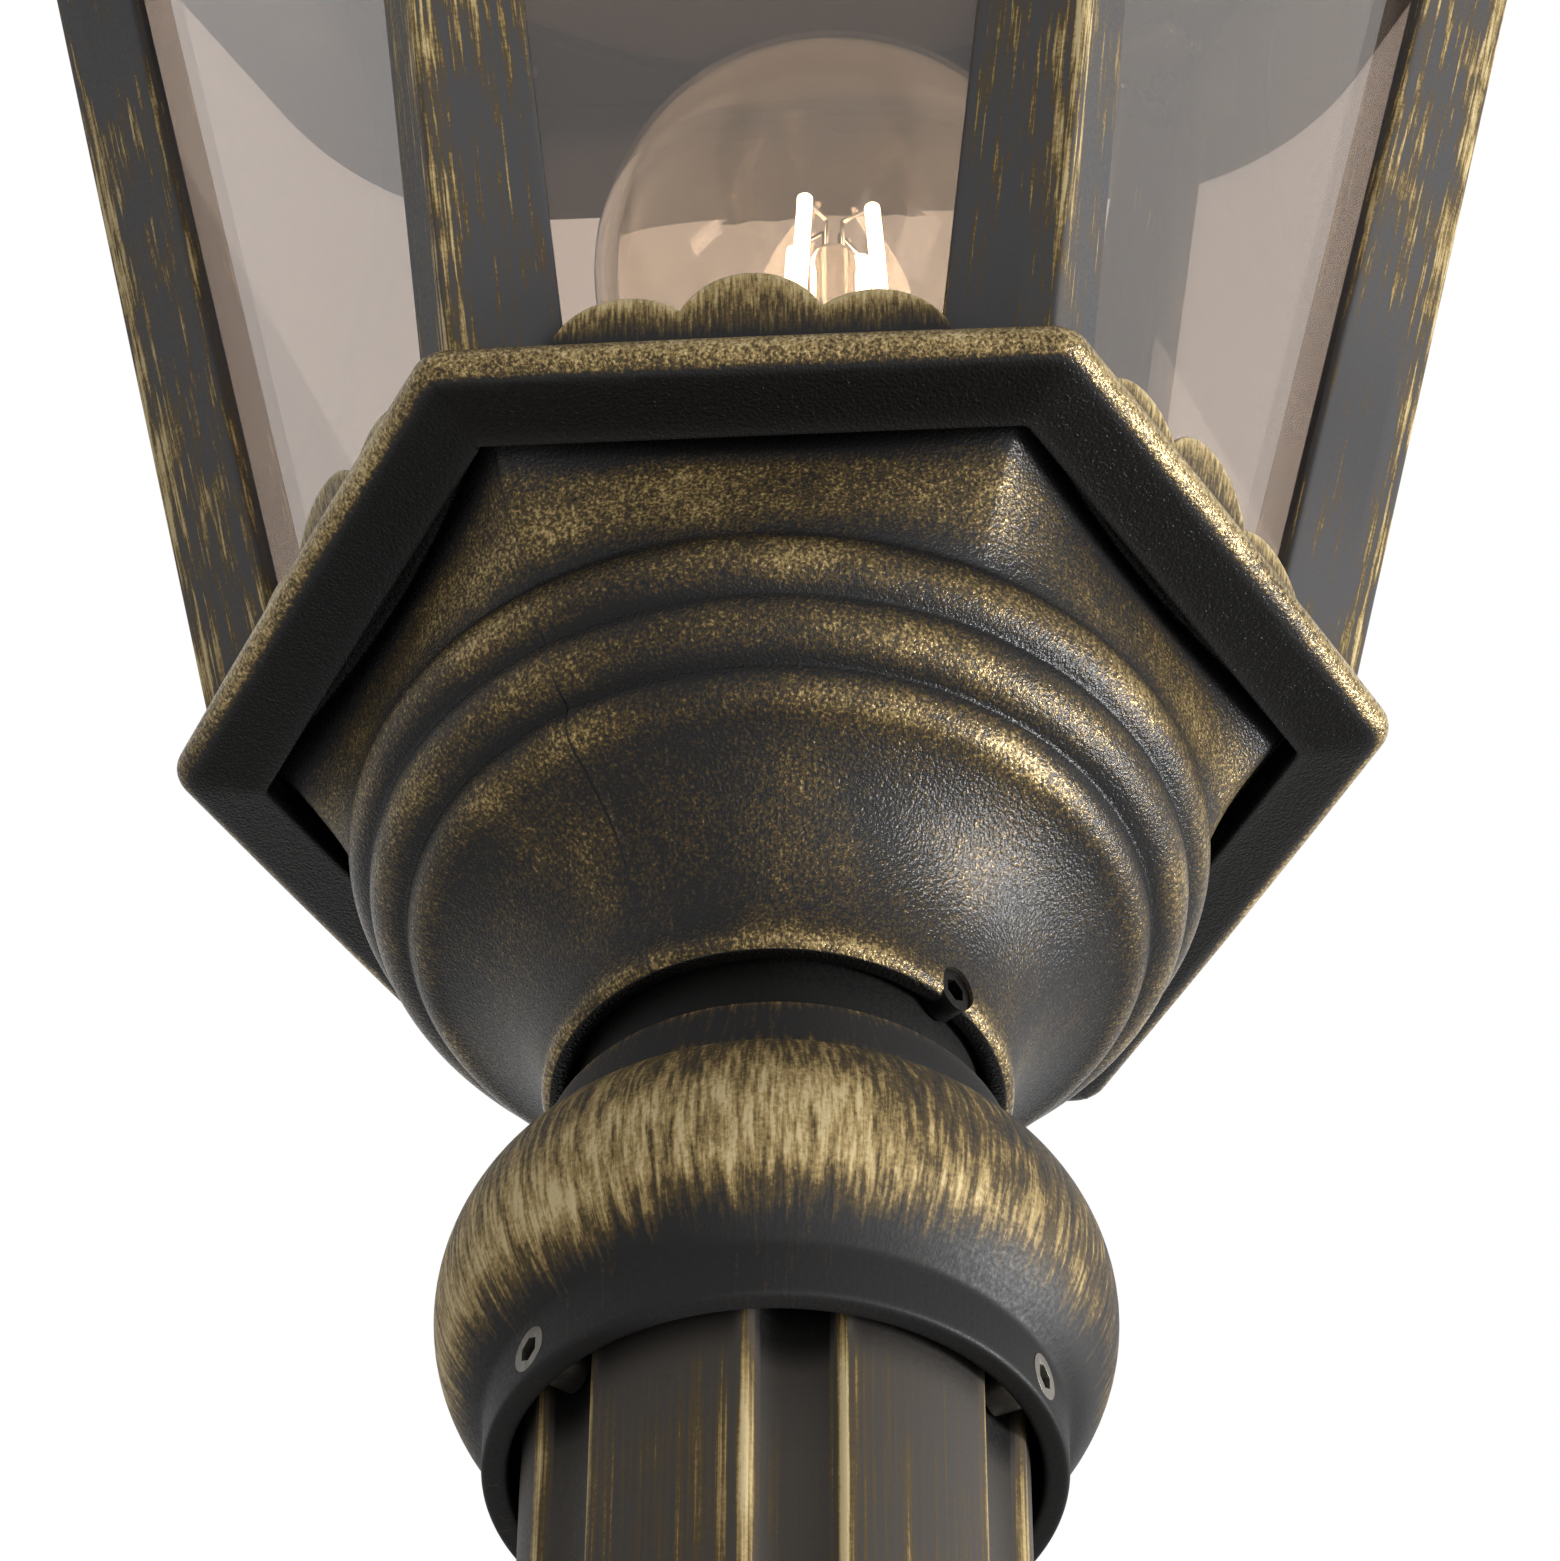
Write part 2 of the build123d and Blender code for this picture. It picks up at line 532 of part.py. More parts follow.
with BuildPart() as head:
    for radius, height in flange_sections:
        with BuildSketch(Plane.XY.offset(FLANGE_Z + height)) as level:
            RegularPolygon(radius, SIDES)
            fillet(level.vertices(), FLANGE_CORNER_R)
    loft(ruled=True)
    with BuildSketch(Plane.XY.offset(FLANGE_Z - RECESS_DROP)) as recess:
        RegularPolygon(RECESS_R, SIDES)
        fillet(recess.vertices(), FLANGE_CORNER_R)
    extrude(amount=RECESS_DROP + RECESS_CEILING_H, mode=Mode.SUBTRACT)
    with BuildSketch(Plane.XY.offset(upper_ring[1])):
        with BuildLine():
            for angle in CORNER_ANGLES:
                ends = [Vector(*polar(UPPER_RING_R, angle + HALF_SIDE * k, 0)) for k in range(3)]
                ThreePointArc(*ends)
        make_face()
    with BuildSketch(Plane.XY.offset(FLANGE_Z + RECESS_CEILING_H)):
        with BuildLine():
            for angle in CORNER_ANGLES:
                waist = polar(SPANDREL_WAIST_R, angle + HALF_SIDE, 0)
                ThreePointArc(polar(RECESS_R, angle, 0), waist, polar(RECESS_R, angle + 2 * HALF_SIDE, 0))
        make_face()
    loft(ruled=True)
    with BuildSketch(Plane.XZ):
        with BuildLine():
            Line((0, LIP_Z + LIP_ROUND_H), lip_in)
            ThreePointArc(lip_in, ((NECK_BORE_R + LIP_R) / 2, LIP_Z), lip_out)
            Line(lip_out, bell_foot)
            ThreePointArc(bell_foot, (BELL_WAIST_R, FLANGE_Z - BELL_WAIST_DROP), bell_top)
            ThreePointArc(bell_top, bulged(bell_top, shoulder, SHOULDER_BULGE), shoulder)
            ThreePointArc(shoulder, bulged(shoulder, lower_ring, RING_BULGE), lower_ring)
            ThreePointArc(lower_ring, bulged(lower_ring, upper_ring, RING_BULGE), upper_ring)
            Polyline(
                upper_ring,
                (UPPER_RING_R, FLANGE_Z + RECESS_CEILING_H),
                (0, FLANGE_Z + RECESS_CEILING_H),
                (0, LIP_Z + LIP_ROUND_H),
            )
        make_face()
    revolve(axis=Axis.Z)
    with BuildSketch(Plane.XY.offset(FLANGE_Z + RECESS_CEILING_H)):
        RegularPolygon(PAD_R, SIDES)
    extrude(amount=CAGE_FOOT_H - RECESS_CEILING_H)
    with BuildSketch(Plane.XY.offset(LIP_Z)):
        Circle(NECK_BORE_R)
    extrude(amount=NECK_BORE_DEPTH, mode=Mode.SUBTRACT)
    with BuildSketch(Plane.XY.offset(NECK_SEAT_Z)):
        Circle(PASSAGE_R)
    extrude(amount=NECK_FLOOR_T, mode=Mode.SUBTRACT)
    with BuildSketch(Plane.XY.offset(NECK_FLOOR_Z)):
        Circle(WIRING_R)
    extrude(until=Until.LAST, mode=Mode.SUBTRACT)
    with BuildSketch(Plane.XY.offset(FLANGE_Z + TRAY_H)):
        Circle(TRAY_R)
    extrude(until=Until.LAST, mode=Mode.SUBTRACT)
    with BuildSketch(Plane.XY.offset(FLANGE_Z + CAGE_FOOT_H)):
        with PolarLocations(tab_screw_r, SIDES):
            Circle(M4[0])
    extrude(amount=TAB_T - FOOT_SCREW_LENGTH, mode=Mode.SUBTRACT)
    with BuildSketch(Plane.XY.offset(FLANGE_Z + TRAY_H)):
        with PolarLocations(tray_screw_r, TRAY_SCREW_COUNT):
            Circle(M3[0])
    extrude(amount=TRAY_T - TRAY_SCREW_LENGTH, mode=Mode.SUBTRACT)
    with BuildSketch(Plane.XY.offset(NECK_FLOOR_Z)):
        with Locations((EARTH_X, EARTH_Y)):
            Circle(M4[0])
    extrude(amount=-EARTH_SCREW_DEPTH, mode=Mode.SUBTRACT)
    for angle in neck_screw_angles:
        with BuildSketch(radial_plane(SPIGOT_R, angle, neck_screw_z)):
            Circle(NECK_SCREW_R)
        extrude(amount=LIP_R, mode=Mode.SUBTRACT)
save(head, "head_casting")
grub_screws(
    [radial_plane(LIP_R - NECK_SCREW_SINK, angle, neck_screw_z) for angle in neck_screw_angles],
    NECK_SCREW_R,
    LIP_WALL - NECK_SCREW_SINK,
    "neck_set_screws",
)

# Corner bars: right-angle castings with a foot tab and a head tab
bar_outline = [
    (0, 0),
    (-LEG * BAR_W, LEG * BAR_W),
    (-LEG_END_U, LEG_END_V),
    (-BAR_T / LEG, 0),
    (-LEG_END_U, -LEG_END_V),
    (-LEG * BAR_W, -LEG * BAR_W),
]
bar_length = CAGE_TOP_H / math.cos(BAR_LEAN) + 2 * BAR_W
clip_apex = -(GLASS_SET + GLASS_T) / math.sin(HALF_FOLD)
for number, angle in enumerate(CORNER_ANGLES, 1):
    with BuildPart() as bar:
        with BuildSketch(bar_plane(angle, -BAR_W)) as section:
            Polygon(*bar_outline, align=None)
            fillet(section.vertices().sort_by(Axis.X)[-1], BAR_ROUND)
        extrude(amount=bar_length)
        trim(CAGE_FOOT_H, CAGE_TOP_H)
        for low, tip in (
            (CAGE_FOOT_H, tab_tip_at(CAGE_FOOT_H)),
            (CAGE_TOP_H - TAB_T, tab_tip_at(CAGE_TOP_H - TAB_T)),
        ):
            with BuildSketch(Plane(origin=(0, 0, FLANGE_Z + low), x_dir=polar(1, angle, 0))):
                Polygon(
                    (tip, 0),
                    (tip - TAB_HALF, TAB_HALF),
                    (tip - TAB_LENGTH, TAB_HALF),
                    (tip - TAB_LENGTH, -TAB_HALF),
                    (tip - TAB_HALF, -TAB_HALF),
                    align=None,
                )
                with Locations((tip - TAB_SCREW_IN, 0)):
                    Circle(M4[0], mode=Mode.SUBTRACT)
            extrude(amount=TAB_T)
        for height in CLIP_HEIGHTS:
            level = bar_plane(angle, height)
            with BuildSketch(Plane(level.origin, x_dir=level.z_dir, z_dir=level.x_dir).offset(clip_apex)):
                Circle(M3[0])
            extrude(amount=-clip_apex - BAR_T / LEG + CLIP_SCREW_BITE, mode=Mode.SUBTRACT)
    save(bar, f"corner_bar_{number}")

# Glass panes and the scalloped strips in front of their lower edges
pane_low_h = CAGE_FOOT_H + TAB_T
pane_top_h = CAGE_TOP_H - TAB_T - PANE_TOP_GAP
pane_edge = GLASS_EDGE - PANE_LAP
strip_y = up_the_face(DECK_H, STRIP_SET)
strip_half = face_half_width(strip_y, LEG_TIP - STRIP_LAP)
lobe_mid_x = (LOBE_VALLEY_X + strip_half) / 2
for number, angle in enumerate(FACE_ANGLES, 1):
    with BuildPart() as pane:
        with BuildSketch(face_plane(angle, GLASS_SET + GLASS_T)):
            low_y = up_the_face(pane_low_h, GLASS_SET + GLASS_T) - GLASS_T
            high_y = up_the_face(pane_top_h, GLASS_SET + GLASS_T) + GLASS_T
            low_half = face_half_width(low_y, pane_edge)
            high_half = face_half_width(high_y, pane_edge)
            corners = [(-low_half, low_y), (low_half, low_y), (high_half, high_y), (-high_half, high_y)]
            Polygon(*corners, align=None)
        extrude(amount=GLASS_T)
        trim(pane_low_h, pane_top_h)
    save(pane, f"glass_pane_{number}")

    with BuildPart() as strip:
        with BuildSketch(face_plane(angle, STRIP_SET)):
            with BuildLine(Plane.XY.move(Location((0, strip_y, 0)))):
                ends = [(-strip_half, STRIP_END_H), (-LOBE_VALLEY_X, LOBE_VALLEY_H)]
                ends += [(LOBE_VALLEY_X, LOBE_VALLEY_H), (strip_half, STRIP_END_H)]
                ThreePointArc(ends[0], (-lobe_mid_x, SIDE_LOBE_H), ends[1])
                ThreePointArc(ends[1], (0, MID_LOBE_H), ends[2])
                ThreePointArc(ends[2], (lobe_mid_x, SIDE_LOBE_H), ends[3])
                Polyline(ends[3], (strip_half, -STRIP_T), (-strip_half, -STRIP_T), ends[0])
            make_face()
        extrude(amount=STRIP_T)
        trim(DECK_H, CAGE_TOP_H)
    save(strip, f"scalloped_strip_{number}")

# Screws that hold the bars to the head casting
tab_top_z = FLANGE_Z + CAGE_FOOT_H + TAB_T
headed_screws(
    [Plane.XY.move(Location(polar(tab_screw_r, angle, tab_top_z))) for angle in CORNER_ANGLES],
    M4,
    FOOT_SCREW_LENGTH,
    "bar_foot_screws",
)

# Top frame: a hexagonal ring with a valance over the upper edge of each pane
frame_screw_r = tab_tip_at(CAGE_TOP_H - TAB_T) - TAB_SCREW_IN
roof_screw_angles = [CORNER_ANGLES[k * SIDES // ROOF_SCREW_COUNT] for k in range(ROOF_SCREW_COUNT)]
valance_low = CAGE_TOP_H - VALANCE_H
valance_edge = LEG_TIP + VALANCE_GAP
with BuildPart() as frame:
    for angle in FACE_ANGLES:
        with BuildSketch(face_plane(angle, GLASS_SET)):
            low_y = up_the_face(valance_low, GLASS_SET) - STRIP_T
            high_y = up_the_face(CAGE_TOP_H + FRAME_T, GLASS_SET) + STRIP_T
            low_half = face_half_width(low_y, valance_edge)
            high_half = face_half_width(high_y, valance_edge)
            corners = [(-low_half, low_y), (low_half, low_y), (high_half, high_y), (-high_half, high_y)]
            Polygon(*corners, align=None)
        extrude(amount=STRIP_T)
    trim(valance_low, CAGE_TOP_H + FRAME_T / 2)
    with BuildSketch(Plane.XY.offset(FLANGE_Z + CAGE_TOP_H)) as ring:
        RegularPolygon(FRAME_R, SIDES)
        fillet(ring.vertices(), FLANGE_CORNER_R)
        Circle(FRAME_HOLE_R, mode=Mode.SUBTRACT)
    extrude(amount=FRAME_T)
    with Locations(Plane.XY.offset(FRAME_TOP_Z)):
        with PolarLocations(frame_screw_r, SIDES):
            CounterSinkHole(M4[0], M4[1])
    with BuildSketch(Plane.XY.offset(FLANGE_Z + CAGE_TOP_H)):
        with PolarLocations(ROOF_SCREW_CIRCLE_R, ROOF_SCREW_COUNT, start_angle=roof_screw_angles[0]):
            Circle(M4[0] + ROOF_SCREW_SLACK)
    extrude(amount=FRAME_T, mode=Mode.SUBTRACT)
save(frame, "top_frame")
with BuildPart() as frame_screws:
    for angle in CORNER_ANGLES:
        with BuildSketch(Plane.XY.move(Location(polar(frame_screw_r, angle, FRAME_TOP_Z)))):
            Circle(M4[0])
        extrude(amount=-FRAME_T - TAB_T)
        with BuildSketch(Plane.XY.move(Location(polar(frame_screw_r, angle, FRAME_TOP_Z)))):
            Circle(M4[1])
        extrude(amount=M4[0] - M4[1], taper=45)
        with BuildSketch(Plane.XY.move(Location(polar(frame_screw_r, angle, FRAME_TOP_Z)))):
            Rectangle(2 * M4[1], M4[1] * SLOT_SHARE)
        extrude(amount=(M4[0] - M4[1]) / 2, mode=Mode.SUBTRACT)
save(frame_screws, "frame_screws")

# Clips that hold the panes against the bars, two on each bar
leg_dir = (-math.cos(HALF_FOLD), math.sin(HALF_FOLD))
clip_tip = (clip_apex + CLIP_LEG * leg_dir[0], CLIP_LEG * leg_dir[1])
clip_back = (clip_tip[0] - CLIP_T * math.sin(HALF_FOLD), clip_tip[1] - CLIP_T * math.cos(HALF_FOLD))
clip_heel = clip_apex - CLIP_T / math.sin(HALF_FOLD)
clip_seat = clip_heel - M3[1] / math.tan(HALF_FOLD)
clip_places = [(angle, height) for angle in CORNER_ANGLES for height in CLIP_HEIGHTS]
clip_screw_planes = []
with BuildPart() as clips:
    for angle, height in clip_places:
        level = bar_plane(angle, height)
        screw_plane = Plane(level.origin, x_dir=level.z_dir, z_dir=-level.x_dir).offset(-clip_seat)
        clip_screw_planes.append(screw_plane)
        with BuildSketch(level):
            Polygon(
                (clip_apex, 0),
                clip_tip,
                clip_back,
                (clip_heel, 0),
                (clip_back[0], -clip_back[1]),
                (clip_tip[0], -clip_tip[1]),
                align=None,
            )
        extrude(amount=CLIP_LENGTH / 2, both=True)
        with BuildSketch(screw_plane):
            Circle(M3[0])
        extrude(amount=clip_seat - clip_apex, mode=Mode.SUBTRACT)
save(clips, "pane_clips")
headed_screws(
    clip_screw_planes,
    M3,
    -clip_seat - BAR_T / LEG + CLIP_SCREW_BITE,
    "pane_clip_screws",
)

# Lamp tray: a sheet disc that closes the wiring space and carries the lampholder
with BuildPart() as tray:
    with BuildSketch(Plane.XY.offset(FLANGE_Z + TRAY_H)):
        Circle(TRAY_R - TRAY_SLACK)
        with Locations((LAMP_X, 0)):
            Circle(NIPPLE_R, mode=Mode.SUBTRACT)
        with PolarLocations(tray_screw_r, TRAY_SCREW_COUNT):
            Circle(M3[0], mode=Mode.SUBTRACT)
    extrude(amount=TRAY_T)
save(tray, "lamp_tray")
tray_screw_angles = [360 / TRAY_SCREW_COUNT * k for k in range(TRAY_SCREW_COUNT)]
headed_screws(
    [Plane.XY.move(Location(polar(tray_screw_r, angle, TRAY_TOP_Z))) for angle in tray_screw_angles],
    M3,
    TRAY_SCREW_LENGTH,
    "tray_screws",
)

# Lampholder, its threaded nipple and nut, and its two contacts
lamp_plane = Plane.XY.move(Location((LAMP_X, 0, 0)))
shell_r = CAP_R + CAP_SLACK + SHELL_T
with BuildPart() as nipple:
    with BuildSketch(lamp_plane.offset(FLANGE_Z - NIPPLE_DROP)):
        Circle(NIPPLE_R)
        Circle(NIPPLE_BORE_R, mode=Mode.SUBTRACT)
    extrude(amount=HOLDER_FLOOR_Z - FLANGE_Z + NIPPLE_DROP)
save(nipple, "lampholder_nipple")
with BuildPart() as nut:
    with BuildSketch(lamp_plane.offset(FLANGE_Z + TRAY_H)):
        RegularPolygon(NUT_R, HEX_COUNT)
        Circle(NIPPLE_R, mode=Mode.SUBTRACT)
    extrude(amount=-NUT_H)
save(nut, "nipple_nut")
with BuildPart() as holder:
    with BuildSketch(lamp_plane.offset(TRAY_TOP_Z)):
        Circle(HOLDER_FOOT_R)
    extrude(amount=HOLDER_FOOT_H)
    with BuildSketch(lamp_plane.offset(TRAY_TOP_Z)):
        Circle(HOLDER_R)
    extrude(amount=HOLDER_TOP_Z - TRAY_TOP_Z)
    fillet(holder.faces().sort_by(Axis.Z)[-1].edges(), HOLDER_ROUND)
    with BuildSketch(lamp_plane.offset(HOLDER_FLOOR_Z)):
        Circle(shell_r)
    extrude(until=Until.LAST, mode=Mode.SUBTRACT)
    with BuildSketch(lamp_plane.offset(TRAY_TOP_Z)):
        Circle(NIPPLE_R)
    extrude(amount=HOLDER_FLOOR_T, mode=Mode.SUBTRACT)
save(holder, "lampholder_body")
with BuildPart() as shell:
    with BuildSketch(lamp_plane.offset(HOLDER_FLOOR_Z)):
        Circle(shell_r)
        Circle(shell_r - SHELL_T, mode=Mode.SUBTRACT)
    extrude(amount=HOLDER_TOP_Z - SHELL_DROP - HOLDER_FLOOR_Z)
save(shell, "lampholder_screw_shell")
with BuildPart() as contact:
    with BuildSketch(lamp_plane.offset(HOLDER_FLOOR_Z)):
        SlotOverall(CONTACT_LENGTH, CONTACT_W)
    extrude(amount=CONTACT_T)
save(contact, "lampholder_centre_contact")

# Terminal block, its screws, the two lamp leads and the earth
block_top_z = NECK_FLOOR_Z + BLOCK_H
block_face_x = BLOCK_X + BLOCK_LENGTH / 2
pole_pitch = BLOCK_LENGTH / BLOCK_POLES
lead_z = NECK_FLOOR_Z + LEAD_RISE
earth_z = NECK_FLOOR_Z + EARTH_TAG_T / 2 + EARTH_BARREL_R
barrel_y = EARTH_Y - EARTH_TAG_R
with BuildPart() as block:
    with BuildSketch(Plane.XY.offset(NECK_FLOOR_Z)):
        with Locations((BLOCK_X, 0)):
            RectangleRounded(BLOCK_LENGTH, BLOCK_W, BLOCK_ROUND)
    extrude(amount=BLOCK_H)
    with BuildSketch(Plane.XY.offset(block_top_z)):
        with Locations((BLOCK_X, 0)):
            with GridLocations(pole_pitch, 0, BLOCK_POLES, 1):
                Circle(BLOCK_SCREW_R)
    extrude(amount=-BLOCK_SCREW_DEPTH, mode=Mode.SUBTRACT)
save(block, "terminal_block")
with BuildPart() as block_screws:
    with BuildSketch(Plane.XY.offset(block_top_z - BLOCK_SCREW_DEPTH)):
        with Locations((BLOCK_X, 0)):
            with GridLocations(pole_pitch, 0, BLOCK_POLES, 1):
                Circle(BLOCK_SCREW_R)
    extrude(amount=BLOCK_SCREW_DEPTH - BLOCK_SCREW_SINK)
    with BuildSketch(Plane.XY.offset(block_top_z - BLOCK_SCREW_SINK)):
        with Locations((BLOCK_X, 0)):
            with GridLocations(pole_pitch, 0, BLOCK_POLES, 1):
                Rectangle(BLOCK_SCREW_R * SLOT_SHARE, BLOCK_SCREW_R * 2)
    extrude(amount=-BLOCK_SCREW_DEPTH / 2, mode=Mode.SUBTRACT)
save(block_screws, "terminal_screws")
for label, y in (("lead_brown", -LEAD_Y), ("lead_blue", LEAD_Y)):
    with BuildPart() as lead:
        with BuildLine() as route:
            FilletPolyline(
                (block_face_x, y, lead_z),
                (LAMP_X, y, lead_z),
                (LAMP_X, y, HOLDER_FLOOR_Z),
                radius=LEAD_BEND_R,
            )
        with BuildSketch(Plane(origin=route.line @ 0, z_dir=route.line % 0)):
            Circle(LEAD_R)
        sweep()
    save(lead, label)
with BuildPart() as tag:
    with BuildSketch(Plane.XY.offset(NECK_FLOOR_Z)):
        with Locations((EARTH_X, EARTH_Y)):
            Circle(EARTH_TAG_R)
        with Locations((EARTH_X, barrel_y)):
            Rectangle(2 * EARTH_BARREL_R, EARTH_BARREL_L)
        with Locations((EARTH_X, EARTH_Y)):
            Circle(M4[0], mode=Mode.SUBTRACT)
    extrude(amount=EARTH_TAG_T)
    with BuildSketch(Plane(origin=(EARTH_X, barrel_y, earth_z), x_dir=(1, 0, 0), z_dir=(0, -1, 0))):
        Circle(EARTH_BARREL_R)
    extrude(amount=EARTH_BARREL_L)
save(tag, "earth_tag")
with BuildPart() as earth_lead:
    with BuildSketch(Plane(origin=(EARTH_X, BLOCK_W / 2, earth_z), x_dir=(1, 0, 0), z_dir=(0, 1, 0))):
        Circle(LEAD_R)
    extrude(amount=barrel_y - EARTH_BARREL_L - BLOCK_W / 2)
save(earth_lead, "lead_earth")
headed_screws(
    [Plane.XY.move(Location((EARTH_X, EARTH_Y, NECK_FLOOR_Z + EARTH_TAG_T)))],
    M4,
    EARTH_SCREW_DEPTH + EARTH_TAG_T,
    "earth_screw",
)

# Bulb: glass envelope, screw cap with its insulator and tip, stem, filaments and their wires
tangent = math.radians(GLOBE_TANGENT_DEG)
cap_inner_r = CAP_R - CAP_THREAD_DEPTH - CAP_WALL
neck_z = CAP_TOP_Z + BULB_NECK_RISE


def globe_outline(inset):
    """Half outline of the glass from the cap to the crown, set in by a wall."""
    globe = GLOBE_R - inset
    low = (cap_inner_r - inset, CAP_TOP_Z - BULB_NECK_RISE)
    collar_point = (cap_inner_r - inset, CAP_TOP_Z)
    neck = (BULB_NECK_R - inset, neck_z)
    touch = (globe * math.cos(tangent), GLOBE_Z + globe * math.sin(tangent))
    Polyline(low, collar_point, neck)
    TangentArc(touch, neck, tangent=(math.sin(-tangent), math.cos(tangent)), tangent_from_first=False)
    CenterArc((0, GLOBE_Z), globe, GLOBE_TANGENT_DEG, 90 - GLOBE_TANGENT_DEG)
    return low, (0, GLOBE_Z + globe)


lamp_side = Plane(origin=(LAMP_X, 0, 0), x_dir=(1, 0, 0), z_dir=(0, -1, 0))
lamp_axis = Axis((LAMP_X, 0, 0), (0, 0, 1))

with BuildPart() as globe:
    with BuildSketch(lamp_side):
        with BuildLine():
            outer_low, outer_top = globe_outline(0)
            inner_low, inner_top = globe_outline(GLOBE_WALL)
            Line(outer_low, inner_low)
            Line(outer_top, inner_top)
        make_face()
    revolve(axis=lamp_axis)
save(globe, "bulb_globe")
with BuildPart() as cap:
    with BuildSketch(lamp_side):
        with BuildLine():
            thread_low = CAP_Z + (CAP_H - CAP_THREADS * CAP_PITCH) / 2
            root_r = CAP_R - CAP_THREAD_DEPTH
            for turn in range(CAP_THREADS):
                low = thread_low + turn * CAP_PITCH
                ThreePointArc((root_r, low), (CAP_R, low + CAP_PITCH / 2), (root_r, low + CAP_PITCH))
            Polyline(
                (root_r, thread_low + CAP_THREADS * CAP_PITCH),
                (root_r, CAP_TOP_Z),
                (cap_inner_r, CAP_TOP_Z),
                (cap_inner_r, CAP_Z),
                (root_r, CAP_Z),
                (root_r, thread_low),
            )
        make_face()
    revolve(axis=lamp_axis)
save(cap, "bulb_cap")
with BuildPart() as insulator:
    with BuildSketch(lamp_plane.offset(CAP_Z)):
        Circle(root_r)
    with BuildSketch(lamp_plane.offset(CAP_Z - INSULATOR_H)):
        Circle(CAP_TIP_R)
    loft()
save(insulator, "bulb_cap_insulator")
with BuildPart() as tip:
    with BuildSketch(lamp_plane.offset(CAP_Z - INSULATOR_H)):
        Circle(CAP_TIP_R)
    extrude(amount=-CAP_TIP_H)
    fillet(tip.faces().sort_by(Axis.Z)[0].edges(), CAP_TIP_H / 2)
save(tip, "bulb_tip_contact")

# The stem stands on the glass inside the cap. The filaments lean in towards its top.
stem_base_z = CAP_TOP_Z - BULB_NECK_RISE
stem_base_r = cap_inner_r - GLOBE_WALL
stem_top_z = FLANGE_Z + STEM_TOP_H
stem_waist = (STEM_R, stem_base_z + STEM_RISE)
filament_top_z = FLANGE_Z + FILAMENT_TOP_H
filament_low_z = filament_top_z - FILAMENT_LENGTH
with BuildPart() as stem:
    with BuildSketch(lamp_side):
        with BuildLine():
            Polyline((0, stem_base_z), (stem_base_r, stem_base_z), (stem_base_r, stem_base_z + GLOBE_WALL))
            ThreePointArc(
                (stem_base_r, stem_base_z + GLOBE_WALL),
                bulged((stem_base_r, stem_base_z + GLOBE_WALL), stem_waist, -STEM_SAG),
                stem_waist,
            )
            Line(stem_waist, (STEM_R, stem_top_z - STEM_R))
            ThreePointArc(
                (STEM_R, stem_top_z - STEM_R),
                (STEM_R * LEG, stem_top_z - STEM_R * (1 - LEG)),
                (0, stem_top_z),
            )
            Line((0, stem_top_z), (0, stem_base_z))
        make_face()
    revolve(axis=lamp_axis)
save(stem, "bulb_stem")


def rods(ends, radius, label):
    """Straight round rods, each between two points."""
    with BuildPart() as group:
        for start, end in ends:
            with BuildSketch(Plane(origin=start, z_dir=end - start)):
                Circle(radius)
            extrude(amount=(end - start).length)
    save(group, label)


def around_lamp(radius, degrees, z):
    return Vector(*polar(radius, degrees, z)) + Vector(LAMP_X, 0, 0)


# Each filament hangs between a wire from the stem's side and a bent wire from its crown
end_dip = FILAMENT_R * (FILAMENT_LOW_R - FILAMENT_TOP_R) / FILAMENT_LENGTH
low_wire_z = filament_low_z - end_dip - WIRE_R
top_wire_z = filament_top_z + end_dip + WIRE_R
crown_r = STEM_R / 2
crown_z = stem_top_z - STEM_R + math.sqrt(STEM_R**2 - (crown_r - WIRE_R) ** 2)
filament_ends = []
wire_ends = []
for number in range(FILAMENTS):
    angle = 360 / FILAMENTS * (number + 0.5) + FILAMENT_TURN
    low = around_lamp(FILAMENT_LOW_R, angle, filament_low_z)
    filament_ends.append((low, around_lamp(FILAMENT_TOP_R, angle, filament_top_z)))
    stem_side = around_lamp(STEM_R, angle, low_wire_z)
    wire_ends.append((stem_side, around_lamp(FILAMENT_LOW_R, angle, low_wire_z)))
    bend = around_lamp(crown_r, angle, top_wire_z)
    wire_ends.append((around_lamp(crown_r, angle, crown_z), bend))
    wire_ends.append((bend, around_lamp(FILAMENT_TOP_R, angle, top_wire_z)))
rods(filament_ends, FILAMENT_R, "bulb_filaments")
rods(wire_ends, WIRE_R, "bulb_filament_wires")


# Roof: a six-sided hat with rounded corners whose brim covers the cage, under a round dome
def roof_point(radius, height):
    return (radius, ROOF_Z + height)


def sweep(low, top):
    """A solid that sweeps in through rounded hexagons. Low and top are corner radii and heights."""
    run = top[0] - low[0]
    rise = top[1] - low[1]
    chord = math.hypot(run, rise)
    with BuildPart() as made:
        for k in range(SWEEP_STEPS + 1):
            share = k / SWEEP_STEPS
            sag = 4 * SWEEP_SAG * share * (1 - share)
            corner = low[0] + run * share - sag * rise / chord
            height = low[1] + rise * share + sag * run / chord
            with BuildSketch(Plane.XY.offset(ROOF_Z + height)) as level:
                RegularPolygon(corner, SIDES)
                fillet(level.vertices(), corner * ROOF_ROUND_SHARE)
        loft(ruled=True)
    return made.part


